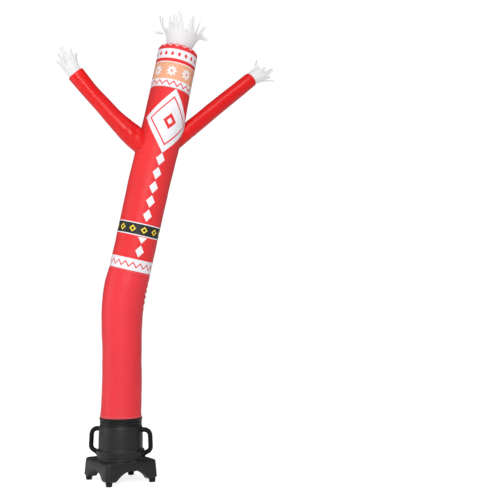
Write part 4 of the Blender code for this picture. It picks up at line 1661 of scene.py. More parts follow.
@dataclass(frozen=True)
class EndedCloth(TubeCloth):
    """A length of a tube that draws in to a vent at its upper end."""

    vent: Vent = HEAD_VENT
    gathers: Gathers = Gathers(0.0, 52, 0.0036, 0.052, 0.9)
    end_rows: int = 40

    @cached_property
    def end_frame(self) -> tuple[Array, Array, Array, Array, float]:
        """The middle, axis, front, side and radius where the tube begins to draw in."""
        middle, axis, front, side, radius = self.line.frames(np.array([self.line.end]))
        return middle[0], axis[0], front[0], side[0], float(radius[0])

    @cached_property
    def climbs(self) -> Array:
        """The rows of the drawn-in end, as shares of the way to the vent's edge."""
        return np.linspace(0.0, 1.0, self.end_rows + 1)[1:]

    def end_points(self, climb: Array, turns: Array, lift: float = 0.0) -> Array:
        """Points of the drawn-in end.

        Args:
            climb: Shares of the way to the vent's edge, from 0 to 1.
            turns: Turns round the end.
            lift: How far they stand off the cloth.

        Returns:
            The points, in the figure's own axes.
        """
        middle, axis, front, side, radius = self.end_frame
        full = self.vent.fullness
        share = (1 - (self.vent.radius / radius) ** full) ** (1 / full)
        rise = np.sin(math.pi / 2 * climb) * share
        narrowed = radius * (1 - rise**full) ** (1 / full)
        folds = self.gathers.raised(self.gathers.level + (1 - climb) * self.vent.rise, turns)
        fade = 1 - np.clip(climb, 0.0, 1.0) ** 8
        carried = self.relief(np.full_like(climb, self.line.end), turns) * (1 - climb) ** 2
        out = np.cos(turns)[..., None] * front + np.sin(turns)[..., None] * side
        lean = (rise / share)[..., None]
        up = axis * lean**2 + out * (1 - lean**2) ** 0.5
        raised = (folds * (0.35 + 0.65 * fade) + carried + lift)[..., None]
        return middle + out * narrowed[..., None] + axis * self.vent.rise * lean + up * raised

    def end_grid(self) -> Array:
        """The rows of points of the drawn-in end."""
        return self.end_points(*np.meshgrid(self.climbs, self.turns, indexing="ij"))

    def grid(self) -> Array:
        """The rows of points, up to the vent's edge."""
        return np.concatenate([super().grid(), self.end_grid()])

    def lengths(self) -> Array:
        """The flat cut's length at each row, along the drawn-in end too."""
        slant = math.hypot(self.end_frame[4] - self.vent.radius, self.vent.rise) * 1.12
        return np.concatenate([self.heights, self.line.end + slant * self.climbs])[:, None]

    def edge(self, count: int, lift: float) -> Array:
        """The vent's edge as a closed line, in the figure's own axes."""
        return self.end_points(np.ones(count), turns_round(count, -math.pi), lift)

    def end_seam(self, climb: float) -> Seam:
        """A stitched line round the drawn-in end."""
        turns = turns_round(200, -math.pi)
        return Seam.on(lambda lift: self.end_points(np.full_like(turns, climb), turns, lift), 0.0006)


@dataclass(frozen=True)
class Sleeve(EndedCloth):
    """An arm, whose first row lies along its crossing with the coat."""

    coat: TubeCloth | None = None
    seam_radius: float = 0.062         # of the arm, where its back seam runs

    @cached_property
    def crossing(self) -> Array:
        """The height on the arm's line, column by column, where it leaves the coat."""
        return self.crossing_at(self.turns)

    @cached_property
    def shares(self) -> Array:
        """The rows' shares of the way from the coat to the drawn-in end."""
        share = np.linspace(0.0, 1.0, self.rows)[:, None]
        return share * 0.45 + 0.55 * share**1.8

    def crossing_at(self, turns: Array) -> Array:
        """Where lines of the arm leave the coat, by halving an interval.

        Args:
            turns: The lines' turns round the arm.

        Returns:
            Their heights on the arm's middle line.
        """
        low = np.full_like(turns, self.line.start)
        high = low + 0.26
        for _ in range(26):
            middle = (low + high) / 2
            heights, around, distance = self.coat.line.locate(self.line.surface(middle, turns))
            surface = self.coat.line.at(heights)[..., 3] + self.coat.relief(heights, around)
            inside = distance < surface + 0.0004
            low, high = np.where(inside, middle, low), np.where(inside, high, middle)
        return (low + high) / 2

    def grid(self) -> Array:
        """The rows of points, from the coat's surface to the vent's edge."""
        heights = self.crossing + (self.line.end - self.crossing) * self.shares
        return np.concatenate([self.point(heights, self.turns[None, :]), self.end_grid()])

    def lengths(self) -> Array:
        """The flat cut's length at each row and column.

        Returns:
            The lengths, with the first column again as the last.
        """
        turns = np.linspace(-math.pi, math.pi, self.columns + 1)
        start = self.line.length_to(self.crossing_at(turns))
        whole = self.line.length_to(self.line.end)
        return np.concatenate([start + (whole - start) * self.shares,
                               whole + 0.05 * self.climbs[:, None] + 0.0 * turns])

    def root_line(self, past: float, lift: float) -> Array:
        """The closed line along which the arm is sewn to the coat, or one a little past it."""
        turns = turns_round(160, -math.pi)
        return self.point(self.crossing_at(turns) + past, turns, lift)

    def root_seam(self, past: float) -> Seam:
        """The stitches on the sleeve beside its root."""
        return Seam.on(lambda lift: self.root_line(past, lift), 0.0006)

    def back_seam(self, name: str) -> Piece:
        """The felled seam along the back of the arm.

        Args:
            name: The piece's name.

        Returns:
            The piece.
        """
        turns = math.pi + self.fell.places * self.fell.half_width / self.seam_radius
        low = self.crossing_at(turns)
        heights = low + (self.line.end - low) * np.linspace(0.0, 1.0, 120)[:, None]
        return self.felled(name, turns, heights, turns / (2 * math.pi), self.line.length_to(heights))


class Strip(NamedTuple):
    """One loose strip of a fringe: how it leaves the vent, bends over, drifts aside and twists."""

    lean: float      # degrees from the vent's axis where it leaves
    curl: float      # degrees that it bends outwards over its length
    drift: float     # metres aside at its tip
    length: float
    twist: float     # degrees at its tip


HEAD_STRIPS = tuple(map(Strip._make, (
    # lean  curl  drift  length  twist
    (10.0, 0.0, -0.010, 0.124, 30.0),
    (2.0, 0.0, -0.030, 0.148, 20.0),
    (11.0, 0.0, -0.004, 0.146, -30.0),
    (26.0, 8.0, 0.004, 0.124, 40.0),
    (14.0, 128.0, 0.000, 0.106, 70.0),
    (26.0, 0.0, 0.006, 0.092, 74.0),
    (22.0, 0.0, 0.004, 0.108, -76.0),
    (-4.0, 0.0, 0.036, 0.158, -22.0),
    (-6.0, 0.0, 0.033, 0.150, 18.0),
    (4.0, 0.0, 0.000, 0.070, -24.0),
    (2.0, 0.0, 0.000, 0.055, 20.0),
    (0.0, 0.0, 0.034, 0.166, -14.0),
    (6.0, 0.0, 0.022, 0.148, 20.0),
    (10.0, 0.0, 0.016, 0.132, -24.0),
    (12.0, 4.0, 0.004, 0.075, 22.0),
    (46.0, -30.0, 0.000, 0.204, 8.0),
    (84.0, 10.0, 0.000, 0.104, 70.0),
    (14.0, 10.0, 0.000, 0.060, -20.0),
    (10.0, 0.0, 0.000, 0.055, 24.0),
    (12.0, 0.0, 0.000, 0.124, -16.0),
    (10.0, 0.0, -0.004, 0.132, 18.0),
    (8.0, 0.0, -0.020, 0.130, -20.0),
    (6.0, 0.0, -0.044, 0.168, 14.0),
    (8.0, 4.0, -0.026, 0.052, -16.0),
)))

HAND_STRIPS = tuple(map(Strip._make, (
    # lean  curl  drift  length  twist
    (10.0, 6.0, 0.004, 0.086, 12.0),
    (10.0, 10.0, -0.006, 0.046, -20.0),
    (24.0, 20.0, 0.004, 0.054, 40.0),
    (14.0, 12.0, 0.006, 0.056, -20.0),
    (12.0, -8.0, -0.004, 0.092, 24.0),
    (6.0, 8.0, 0.004, 0.126, -14.0),
    (10.0, 14.0, -0.004, 0.080, 24.0),
    (8.0, 16.0, 0.004, 0.086, -40.0),
    (8.0, 4.0, 0.005, 0.100, 16.0),
    (10.0, 8.0, -0.005, 0.136, -18.0),
)))

RIGHT_HAND_STRIPS = tuple(map(Strip._make, (
    # lean  curl  drift  length  twist
    (10.0, 8.0, -0.005, 0.104, -18.0),
    (8.0, 4.0, 0.005, 0.066, 16.0),
    (18.0, 14.0, 0.004, 0.108, 0.0),
    (10.0, 14.0, -0.004, 0.050, 24.0),
    (6.0, 8.0, 0.004, 0.066, -14.0),
    (12.0, -8.0, -0.004, 0.062, 24.0),
    (14.0, 12.0, 0.006, 0.050, -20.0),
    (22.0, 20.0, 0.004, 0.080, 40.0),
    (10.0, 10.0, -0.006, 0.042, -20.0),
    (10.0, 6.0, 0.004, 0.066, 50.0),
)))


@dataclass(frozen=True)
class Comb:
    """A fringe: a flared band wound round inside a vent's edge, slit into a strip on each sector."""

    name: str
    cloth: EndedCloth
    strips: tuple[Strip, ...]
    seed: float
    sweep: tuple[float, float, float]      # how the moving air bends the strips over
    rounds: int = 2
    share: float = 0.90
    sector_columns: int = 10
    band_rows: int = 12
    strip_rows: int = 30
    tucked: float = 0.008                  # how far the band reaches down inside the vent
    flare_start: float = 0.006

    @cached_property
    def frame(self) -> tuple[Array, Array, Array, Array]:
        """The vent's middle, axis, front and side."""
        middle, axis, front, side, _ = self.cloth.end_frame
        return middle + axis * self.cloth.vent.rise, axis, front, side

    @property
    def columns(self) -> int:
        """Points across a strip."""
        return int(round(self.share * self.sector_columns)) + 1

    def way(self, turn: Array) -> Array:
        """The outward direction at turns."""
        _, _, front, side = self.frame
        return np.cos(turn)[..., None] * front + np.sin(turn)[..., None] * side

    def build(self) -> Piece:
        """The band and its strips as one sheet.

        Returns:
            The piece.
        """
        points, faces, places = np.empty((0, 3)), [], np.empty((0, 2))
        for layer in range(self.rounds):
            grids = [self._band(layer)]
            for number, strip in enumerate(self.strips):
                change = math.sin(2.7 * number + self.seed)
                shorter = 1 - layer * (0.20 + 0.12 * change)
                strip = strip._replace(lean=strip.lean - 5.0 * layer, length=strip.length * shorter,
                                       drift=strip.drift - 0.010 * layer * change)
                grids.append(self._strip(number, strip, layer))
            for grid, across, run, closed in grids:
                faces += grid_faces(*grid.shape[:2], closed, len(points))
                points = np.concatenate([points, grid.reshape(-1, 3)])
                spread = np.broadcast_arrays(across + layer, run[:, None])
                places = np.concatenate([places, np.stack(spread, axis=2).reshape(-1, 2)])
        return surfaced(self.name, to_frame(points), faces, merge=2e-5, cut_map=places[np.array(faces)])

    def flat_area(self) -> float:
        """The cut's area.

        Returns:
            Square metres.
        """
        vent, round_length = self.cloth.vent, 2 * math.pi * self.cloth.vent.radius
        width = round_length * vent.band_flare / len(self.strips) * self.share
        band = round_length * (1 + vent.band_flare) / 2 * (vent.band_height + self.tucked)
        return self.rounds * (band + sum(strip.length * width * 0.875 for strip in self.strips))

    def _inner(self, layer: int) -> float:
        """The radius at the vent's edge of one round of the band."""
        return self.cloth.vent.radius - 0.0024 - 0.0030 * layer

    def _band(self, layer: int) -> tuple[Array, Array, Array, bool]:
        """One round of the band.

        Args:
            layer: The round's number.

        Returns:
            Its points, the flat cut's places across and along, and that it closes on itself.
        """
        middle, axis, _, _ = self.frame
        vent = self.cloth.vent
        turns = turns_round(len(self.strips) * self.sector_columns)
        lifts = np.linspace(-self.tucked, vent.band_height, self.band_rows)
        opened = np.clip((lifts - self.flare_start) / (vent.band_height - self.flare_start), 0.0, 1.0)
        radius = self._inner(layer) * (1 + (vent.band_flare - 1) * opened)[:, None]
        radius = radius + self._wave(turns, np.clip(lifts / vent.band_height, 0, 1)[:, None])
        blown = np.array(self.sweep) * 0.8 * np.maximum(lifts, 0.0)[:, None, None] ** 2 / vent.band_height
        points = middle + self.way(turns) * radius[..., None] + axis * lifts[:, None, None] + blown
        return points, turns / (2 * math.pi), lifts, True

    def _wave(self, turns: Array, share: Array | float) -> Array:
        """The band's ruffles.

        Args:
            turns: Turns round it.
            share: How far up it, from 0 to its slit edge at 1.

        Returns:
            How much wider it is there.
        """
        count = len(self.strips)
        ruffle = np.sin(count * turns + self.seed) * 0.5 + np.sin(2.5 * count * turns + 2 * self.seed) * 0.3
        return 0.026 * self.cloth.vent.radius * ruffle * share**1.5

    def _strip(self, number: int, strip: Strip, layer: int) -> tuple[Array, Array, Array, bool]:
        """One strip, whose first row lies on the band's edge.

        Args:
            number: The strip's number round the band.
            strip: How it flies.
            layer: The round's number.

        Returns:
            Its points, the flat cut's places across and along, and that it doesn't close on itself.
        """
        middle, axis, _, _ = self.frame
        vent, count, spread = self.cloth.vent, len(self.strips), np.linspace(0.0, self.share, self.columns)
        turns = (number + 0.4 * layer + spread) * 2 * math.pi / count
        radius = self._inner(layer) * vent.band_flare + self._wave(turns, 1.0)
        blown = axis + np.array(self.sweep) * 0.8
        edge = middle + self.way(turns) * radius[:, None] + blown * vent.band_height
        root, chord = (edge[0] + edge[-1]) / 2, (edge[-1] - edge[0]) / 2
        sideways, half = unit(chord), np.linalg.norm(chord)
        outward = np.cross(sideways, axis)
        outward *= np.sign(outward @ (root - middle))

        share = np.linspace(0.0, 1.0, self.strip_rows)
        flared, risen = vent.radius * (vent.band_flare - 1), vent.band_height - self.flare_start
        flare = math.degrees(math.atan2(flared, risen))
        settled = np.clip(share / 0.16, 0.0, 1.0)
        settled = settled**2 * (3 - 2 * settled)
        angle = np.radians(flare + (strip.lean - flare) * settled + strip.curl * share)
        angle = (angle + np.sin(share * 7.0 + self.seed + 1.9 * number) * 0.10 * share)[:, None]
        bent = np.sin(angle) * outward + np.cos(angle) * axis
        heading = unit(bent + np.array(self.sweep) * settled[:, None])
        steps = heading * strip.length / (self.strip_rows - 1)
        line = root + np.concatenate([np.zeros((1, 3)), np.cumsum(steps[:-1], axis=0)])
        line = (line + sideways * (strip.drift * share**1.7)[:, None])[:, None, :]

        across, down = np.linspace(-1.0, 1.0, self.columns)[None, :], share[:, None]
        twist = math.radians(strip.twist) * down**0.8
        bow = half * (0.05 + 0.22 * down * math.cos(1.7 * number + 2 * self.seed))
        ripple = 0.05 * half * np.sin(9 * down + 5 * across + number)
        wide = half * (1 - 0.25 * down) * across
        raised = (1 - across**2) * bow + ripple * down
        slanted = 0.035 * np.sin(2.3 * number + self.seed) * across * down**12 * strip.length
        free = (line + sideways * (wide * np.cos(twist))[..., None]
                + np.cross(sideways, heading)[:, None, :] * (wide * np.sin(twist) - raised)[..., None]
                + heading[:, None, :] * slanted[..., None])
        blend = settled[:, None, None]
        points = (line + edge - root) * (1 - blend) + free * blend
        across = (number + 0.37 * layer + spread) / count
        return points, across, share * strip.length + vent.band_height, False


@dataclass(frozen=True)
class AirFigure:
    """The cloth figure: leg, coat, head, two sleeves and three fringes, sewn end to end."""

    gap: float = 0.0002

    @cached_property
    def leg(self) -> TubeCloth:
        """The plain lower length, clamped on the blower."""
        return TubeCloth(SPINE, LEG_LOW, HEM - self.gap, LEG_RELIEF, rows=230, crowded=0.55)

    @cached_property
    def coat(self) -> TubeCloth:
        """The printed length that the arms are sewn to."""
        return TubeCloth(SPINE, HEM + self.gap, NECK - self.gap, COAT_RELIEF, rows=220)

    @cached_property
    def head(self) -> EndedCloth:
        """The printed top, drawn in to its vent."""
        return EndedCloth(SPINE, NECK + self.gap, HEAD_TOP, HEAD_RELIEF, rows=64)

    @cached_property
    def left(self) -> Sleeve:
        """The arm on the viewer's left."""
        return self.sleeve(LEFT_ARM, LEFT_FOLDS, 3.3)

    @cached_property
    def right(self) -> Sleeve:
        """The arm on the viewer's right."""
        return self.sleeve(RIGHT_ARM, RIGHT_FOLDS, 4.7)

    def sleeve(self, line: TubeLine, folds: tuple[Relief, ...], seed: float) -> Sleeve:
        """One arm.

        Args:
            line: Its middle line.
            folds: Its own folds.
            seed: What makes its unevenness differ from the other arm's.

        Returns:
            The arm's cloth.
        """
        return Sleeve(line, line.start, line.end, (Swell(0.0007, seed), *folds), rows=150, columns=120,
                      fell=Fell(0.0045, 0.0013, 0.5, 0.9), vent=HAND_VENT,
                      gathers=Gathers(0.0, 30, 0.0022, 0.022, seed), end_rows=22, coat=self.coat)

    def build(self) -> None:
        """Make every piece of the figure."""
        self._lengths()
        self._sleeves()
        self._fringes()

    def _lengths(self) -> None:
        """The three lengths of the body, with their seams."""
        leg, coat, head = self.leg, self.coat, self.head
        beside, near, aside = 0.0052, 0.0040, 0.0036 / 0.153
        plan = (
            ("leg", leg, RED_CLOTH, Slot.RED_CLOTH, (0.474, HEM - near),
             (leg.level_seam(HEM - beside), leg.level_seam(RING_TOP + 0.0120))),
            ("coat", coat, COAT_PRINT, Slot.RED_CLOTH, (HEM + near, NECK - near),
             (coat.level_seam(HEM + beside), coat.level_seam(NECK - beside))),
            ("head", head, HEAD_PRINT, Slot.HEAD_CLOTH, (NECK + near, HEAD_TOP - near),
             (head.level_seam(NECK + beside), head.end_seam(0.90))),
        )
        sheets = [settle(cloth.sheet(f"{name}_cloth"), finish, (f"{name}_tube",))
                  for name, cloth, finish, slot, _, _ in plan]
        fells = [settle(cloth.back_seam(f"{name}_back_seam"), finish)
                 for name, cloth, finish, slot, _, _ in plan]
        threads = [self._sew(f"{name}_stitches", (*seams, *cloth.upright_seams(*reach, aside)), SEWING_THREAD)
                   for name, cloth, _, _, reach, seams in plan]
        hem = self._roll("hem_seam", coat.round_line(HEM, 240), 0.0015, RED_CLOTH)
        neck = self._roll("neck_seam", coat.round_line(NECK, 240), 0.0015, WHITE_TAPE)
        piping = self._roll("piping_above_ring", leg.round_line(RING_TOP + 0.0014, 240), 0.0018, ROSE_PIPING)
        rim = self._roll("head_vent_hem", head.edge(240, -0.0006), 0.0026, RED_CLOTH)

    def _roll(self, name: str, line: Array, radius: float, finish: Finish) -> Piece:
        """A rolled edge or piping along a closed line."""
        return settle(rod(name, to_frame(line), radius, 8, closed=True), finish)

    def _sew(self, name: str, seams: Iterable[Seam], finish: Finish) -> Piece:
        """The stitches of one sheet."""
        return settle(Thread().sew(name, seams), finish)

    def _sleeves(self) -> None:
        """Both arms, with their seams."""
        for side, sleeve in (("left", self.left), ("right", self.right)):
            end, start = sleeve.line.end, float(np.max(sleeve.crossing)) + 0.004
            piece = settle(sleeve.sheet(f"sleeve_{side}"), SLEEVE_CLOTH, (f"arm_{side}",))
            fell = settle(sleeve.back_seam(f"sleeve_{side}_seam"), SLEEVE_CLOTH)
            thread = self._sew(f"sleeve_{side}_stitches", (
                sleeve.root_seam(0.0042), sleeve.end_seam(0.86),
                *sleeve.upright_seams(start, end - 0.004, 0.0030 / sleeve.seam_radius)), RED_THREAD)
            root = self._roll(f"sleeve_{side}_root_seam", sleeve.root_line(0.0004, 0.0002), 0.0012,
                              SLEEVE_CLOTH)
            rim = self._roll(f"hand_{side}_vent_hem", sleeve.edge(160, -0.0004), 0.0021, SLEEVE_CLOTH)
            length = float(sleeve.line.length_to(end)) - 0.12
            width = 2 * math.pi * float(np.mean(sleeve.line.at(np.linspace(start, end, 20))[:, 3]))

    def _fringes(self) -> None:
        """The three fringes that the leaving air shakes."""
        for comb, finish, node, holder in (
            (Comb("head_fringe", self.head, HEAD_STRIPS, 0.6, (0.03, 0.0, 0.0)),
             FRINGE_CLOTH, "fringe_head", "head_cloth"),
            (Comb("hand_fringe_left", self.left, HAND_STRIPS, 1.7, (0.22, 0.0, 0.16)),
             HAND_FRINGE_PAINTED_SHADE_CLOTH, "fringe_left", "sleeve_left"),
            (Comb("hand_fringe_right", self.right, RIGHT_HAND_STRIPS, 2.9, (0.06, 0.0, -0.14)),
             HAND_FRINGE_PAINTED_SHADE_CLOTH, "fringe_right", "sleeve_right"),
        ):
            piece, vent = settle(comb.build(), finish, (node,)), comb.cloth.vent
            width = 2 * math.pi * vent.radius * (1 + vent.band_flare) / 2
            length = vent.band_height + comb.tucked + max(strip.length for strip in comb.strips)
            width * comb.rounds
            comb.flat_area()




# ------------------------------------------------------------------ the blower

BLOWER_PLASTIC = Moulding("blower plastic", (0.0150, 0.0150, 0.0156), (0.060, 0.060, 0.060), roughness=0.43,
                          specular=0.28)
TRIM_PLASTIC = Moulding("trim plastic", (0.006, 0.0065, 0.0070), (0.040, 0.040, 0.042), roughness=0.44,
                        grain=0.0001, grains_per_metre=1100.0, dust=0.16, specular=0.20)
HANDLE_PLASTIC = Moulding("handle plastic", (0.0045, 0.0045, 0.0048), (0.030, 0.030, 0.030), roughness=0.46,
                          grain=0.0001, grains_per_metre=1100.0, dust=0.14, specular=0.16)
FOOT_RUBBER = Moulding("foot rubber", (0.010, 0.010, 0.010), (0.055, 0.053, 0.050), roughness=0.74,
                       grain=0.0003, grains_per_metre=420.0, wear=0.6, dust=0.5, specular=0.25)
SWITCH_PLASTIC = Moulding("switch frame plastic", (0.009, 0.009, 0.010), (0.045, 0.045, 0.046), roughness=0.28,
                          grain=0.00003, grains_per_metre=1900.0, wear=0.3, dust=0.15, coat=0.25)
MARK_PAINT = Moulding("pale paint", (0.58, 0.60, 0.59), (0.24, 0.25, 0.24), roughness=0.42, grain=0.00004,
                      grains_per_metre=1500.0, wear=0.35, dust=0.1)
BRIGHT_METAL = PlatedMetal("plated metal")
LAMP_GREEN = LitPlastic("half-clear green")

RISE_ARC = tuple(math.radians(a) for a in (0.0, 22.5, 45.0, 67.5, 90.0))


class Section(NamedTuple):
    """A rounded rectangle at a level of a moulding."""

    level: float
    half_u: float
    half_v: float
    corner: float
    middle_v: float = 0.0


def stacked(name: str, sections: Sequence[Section], upright: bool = False, per_corner: int = 12) -> Piece:
    """A solid through rounded rectangles.

    Args:
        name: The piece's name.
        sections: The rectangles, in the order of their levels.
        upright: Levels run up Z; otherwise they run out along X, with v upwards.
        per_corner: Points round each corner.

    Returns:
        The new object.
    """
    rows = []
    turns = np.linspace(0.0, math.pi / 2, per_corner) + np.arange(4)[:, None] * math.pi / 2
    for level, half_u, half_v, corner, middle in sections:
        outline = np.array(FOUR_CORNERS)[:, None, :] * (half_u - corner, half_v - corner)
        outline = outline + corner * np.stack([np.cos(turns), np.sin(turns)], axis=2) + (0.0, middle)
        outline = outline.reshape(-1, 2)
        depth = np.full((len(outline), 1), level)
        rows.append(np.hstack([outline, depth] if upright else [depth, outline]))
    return capped(name, rows, 38.0)


def eased_sections(low: float, high: float, half_u: float, half_v: float, corner: float, ease: float,
                   draft: float, middle: float = 0.0) -> list[Section]:
    """Sections of a block with draft whose far edge is rounded.

    Args:
        low: Its first level.
        high: Its last level.
        half_u: Half its width at the first level.
        half_v: Half its height at the first level.
        corner: Radius of its corners.
        ease: Radius of its far edge.
        draft: How much smaller it is at the last level, on each side.
        middle: The middle of its height.

    Returns:
        The sections.
    """
    made = [Section(low, half_u, half_v, corner, middle)]
    for turn in RISE_ARC:
        inward = draft + ease * (1 - math.cos(turn))
        level = high - ease * (1 - math.sin(turn))
        made.append(Section(level, half_u - inward, half_v - inward, max(corner - inward, 0.001), middle))
    return made


@dataclass(frozen=True)
class Duct:
    """The drum that carries the air up, its clamp ring and the band below it."""

    wall: float = 0.0045
    outlet_top: float = 0.4650
    band_top: float = 0.4370
    band_low: float = 0.4065
    spigot: float = 0.1500
    radius: float = 0.1625
    collar: float = 0.1745
    base_top: float = 0.1653

    def outer_side(self) -> Profile:
        """The outer profile.

        Returns:
            Its points, top to bottom.
        """
        return [
            (0.1490, self.outlet_top - 0.003), (0.1492, 0.4388), (0.1495, 0.4378),
            (self.spigot, self.band_top + CLEARANCE), (self.spigot, self.band_low - CLEARANCE),
            (0.1524, self.band_low - CLEARANCE), (0.1532, self.band_low - 0.0006),
            *beside(0.0, self.band_low, (153.8, -1.3), (156.0, -3.6), (156.7, -5.0)),
            (0.1580, 0.3850), (0.1600, 0.3620), (0.1613, 0.3450), (0.1621, 0.3240), (self.radius, 0.3000),
            (self.radius, 0.2500), (0.1627, 0.2448), (0.1636, 0.2400), (0.1652, 0.2362), (0.1675, 0.2338),
            (0.1704, 0.2322), (0.1732, 0.2306), (0.1752, 0.2284), (0.1765, 0.2254), (0.1770, 0.2220),
            (0.1766, 0.2184), (0.1757, 0.2150), (0.1749, 0.2120), (self.collar, 0.2088),
            (self.collar, self.base_top + 0.0012), (self.collar - 0.0010, self.base_top),
        ]

    def plug(self) -> Piece:
        """The drum's filled shape, grown by the clearance, as a cutter for what butts on it.

        Returns:
            The new object.
        """
        side = [(r + CLEARANCE, z) for r, z in self.outer_side()]
        ends = [(0.0, side[0][1] + CLEARANCE)], [(0.0, side[-1][1] - CLEARANCE)]
        return lathe("drum_plug", ends[0] + side + ends[1], 144, closed=False)

    def build(self) -> None:
        """Make the drum, the ring and the band."""
        inner = [
            (self.collar - 0.0060, self.base_top), (self.collar - 0.0060, 0.2100),
            (self.radius - 0.0080, 0.2280), (self.radius - self.wall, 0.2400),
            (self.radius - self.wall, 0.3000), (0.1512, 0.3980),
            (self.spigot - self.wall, 0.4080), (self.spigot - self.wall, self.outlet_top - 0.003),
        ]
        drum = lathe("drum_turning", self.outer_side() + inner, 160)
        settle(moved(drum, ON_STAND), BLOWER_PLASTIC, ("drum",))
        self._ring()
        self._band()

    def _ring(self) -> None:
        """The ring that clamps the cloth, with notches along its upper edge."""
        low, top, outer, inside = self.outlet_top - 0.0240, self.outlet_top, 0.1580, 0.1531
        profile = [
            (inside, top),
            *beside(outer, top, (-1.8, 0.0), (-0.9, -0.3), (-0.3, -0.9), (0.0, -1.8), (0.0, -7.8),
                    (-0.4, -9.0), (-1.6, -9.8), (-2.0, -10.8)),
            *beside(outer, low, (-2.0, 2.2), (-2.4, 0.8), (-3.4, 0.0)),
            (inside, low),
        ]
        notches = np.radians(np.array([196.0, 200.0, 204.5, 208.0, 213.0, 219.0, 224.0, 236.0, 331.0]))
        half_notch, notch_depth = math.radians(1.1), 0.0014

        def notched(radii: Array, heights: Array, turns: Array) -> tuple[Array, Array]:
            """Lower the upper edge where a notch is."""
            inside = np.abs(wrapped(turns[..., None] - notches)).min(axis=-1) < half_notch
            return radii, heights - notch_depth * inside * (heights > top - 0.0002)

        ring = lathe("outlet_ring_moulding", profile, 360, shape=notched)
        settle(moved(ring, ON_STAND), TRIM_PLASTIC, ("outlet_ring",))

    def _band(self) -> None:
        """The second band and the pale tick painted on it."""
        inside, outer = self.spigot + CLEARANCE, 0.1545
        high, low = self.band_top, self.band_low
        side = ((-1.4, 0.0), (-0.5, 0.4), (0.0, 1.4), (0.0, 4.0), (-0.6, 5.0))
        profile = [
            (inside, high), *beside(outer, high, *((out, -up) for out, up in side)),
            *beside(outer, low, *side[::-1]), (inside, low),
        ]
        band = lathe("neck_band_moulding", profile, 160)
        settle(moved(band, ON_STAND), TRIM_PLASTIC, ("neck_band",))
        turns, heights = np.linspace(-0.0042, 0.0042, 5), np.linspace(low + 0.0085, low + 0.0195, 9)
        paint = 0.0003
        radius = outer - 0.0006 + paint
        points = np.broadcast_arrays(radius * np.cos(turns), radius * np.sin(turns), heights[:, None])
        tick = skin("band_tick", np.stack(points, axis=2), np.zeros((9, 5, 2)), closed=False)
        altered(tick, "SOLIDIFY", thickness=paint, offset=1.0)
        settle(moved(tick, ON_STAND @ Matrix.Rotation(math.radians(96.0), 4, "Z")), MARK_PAINT)


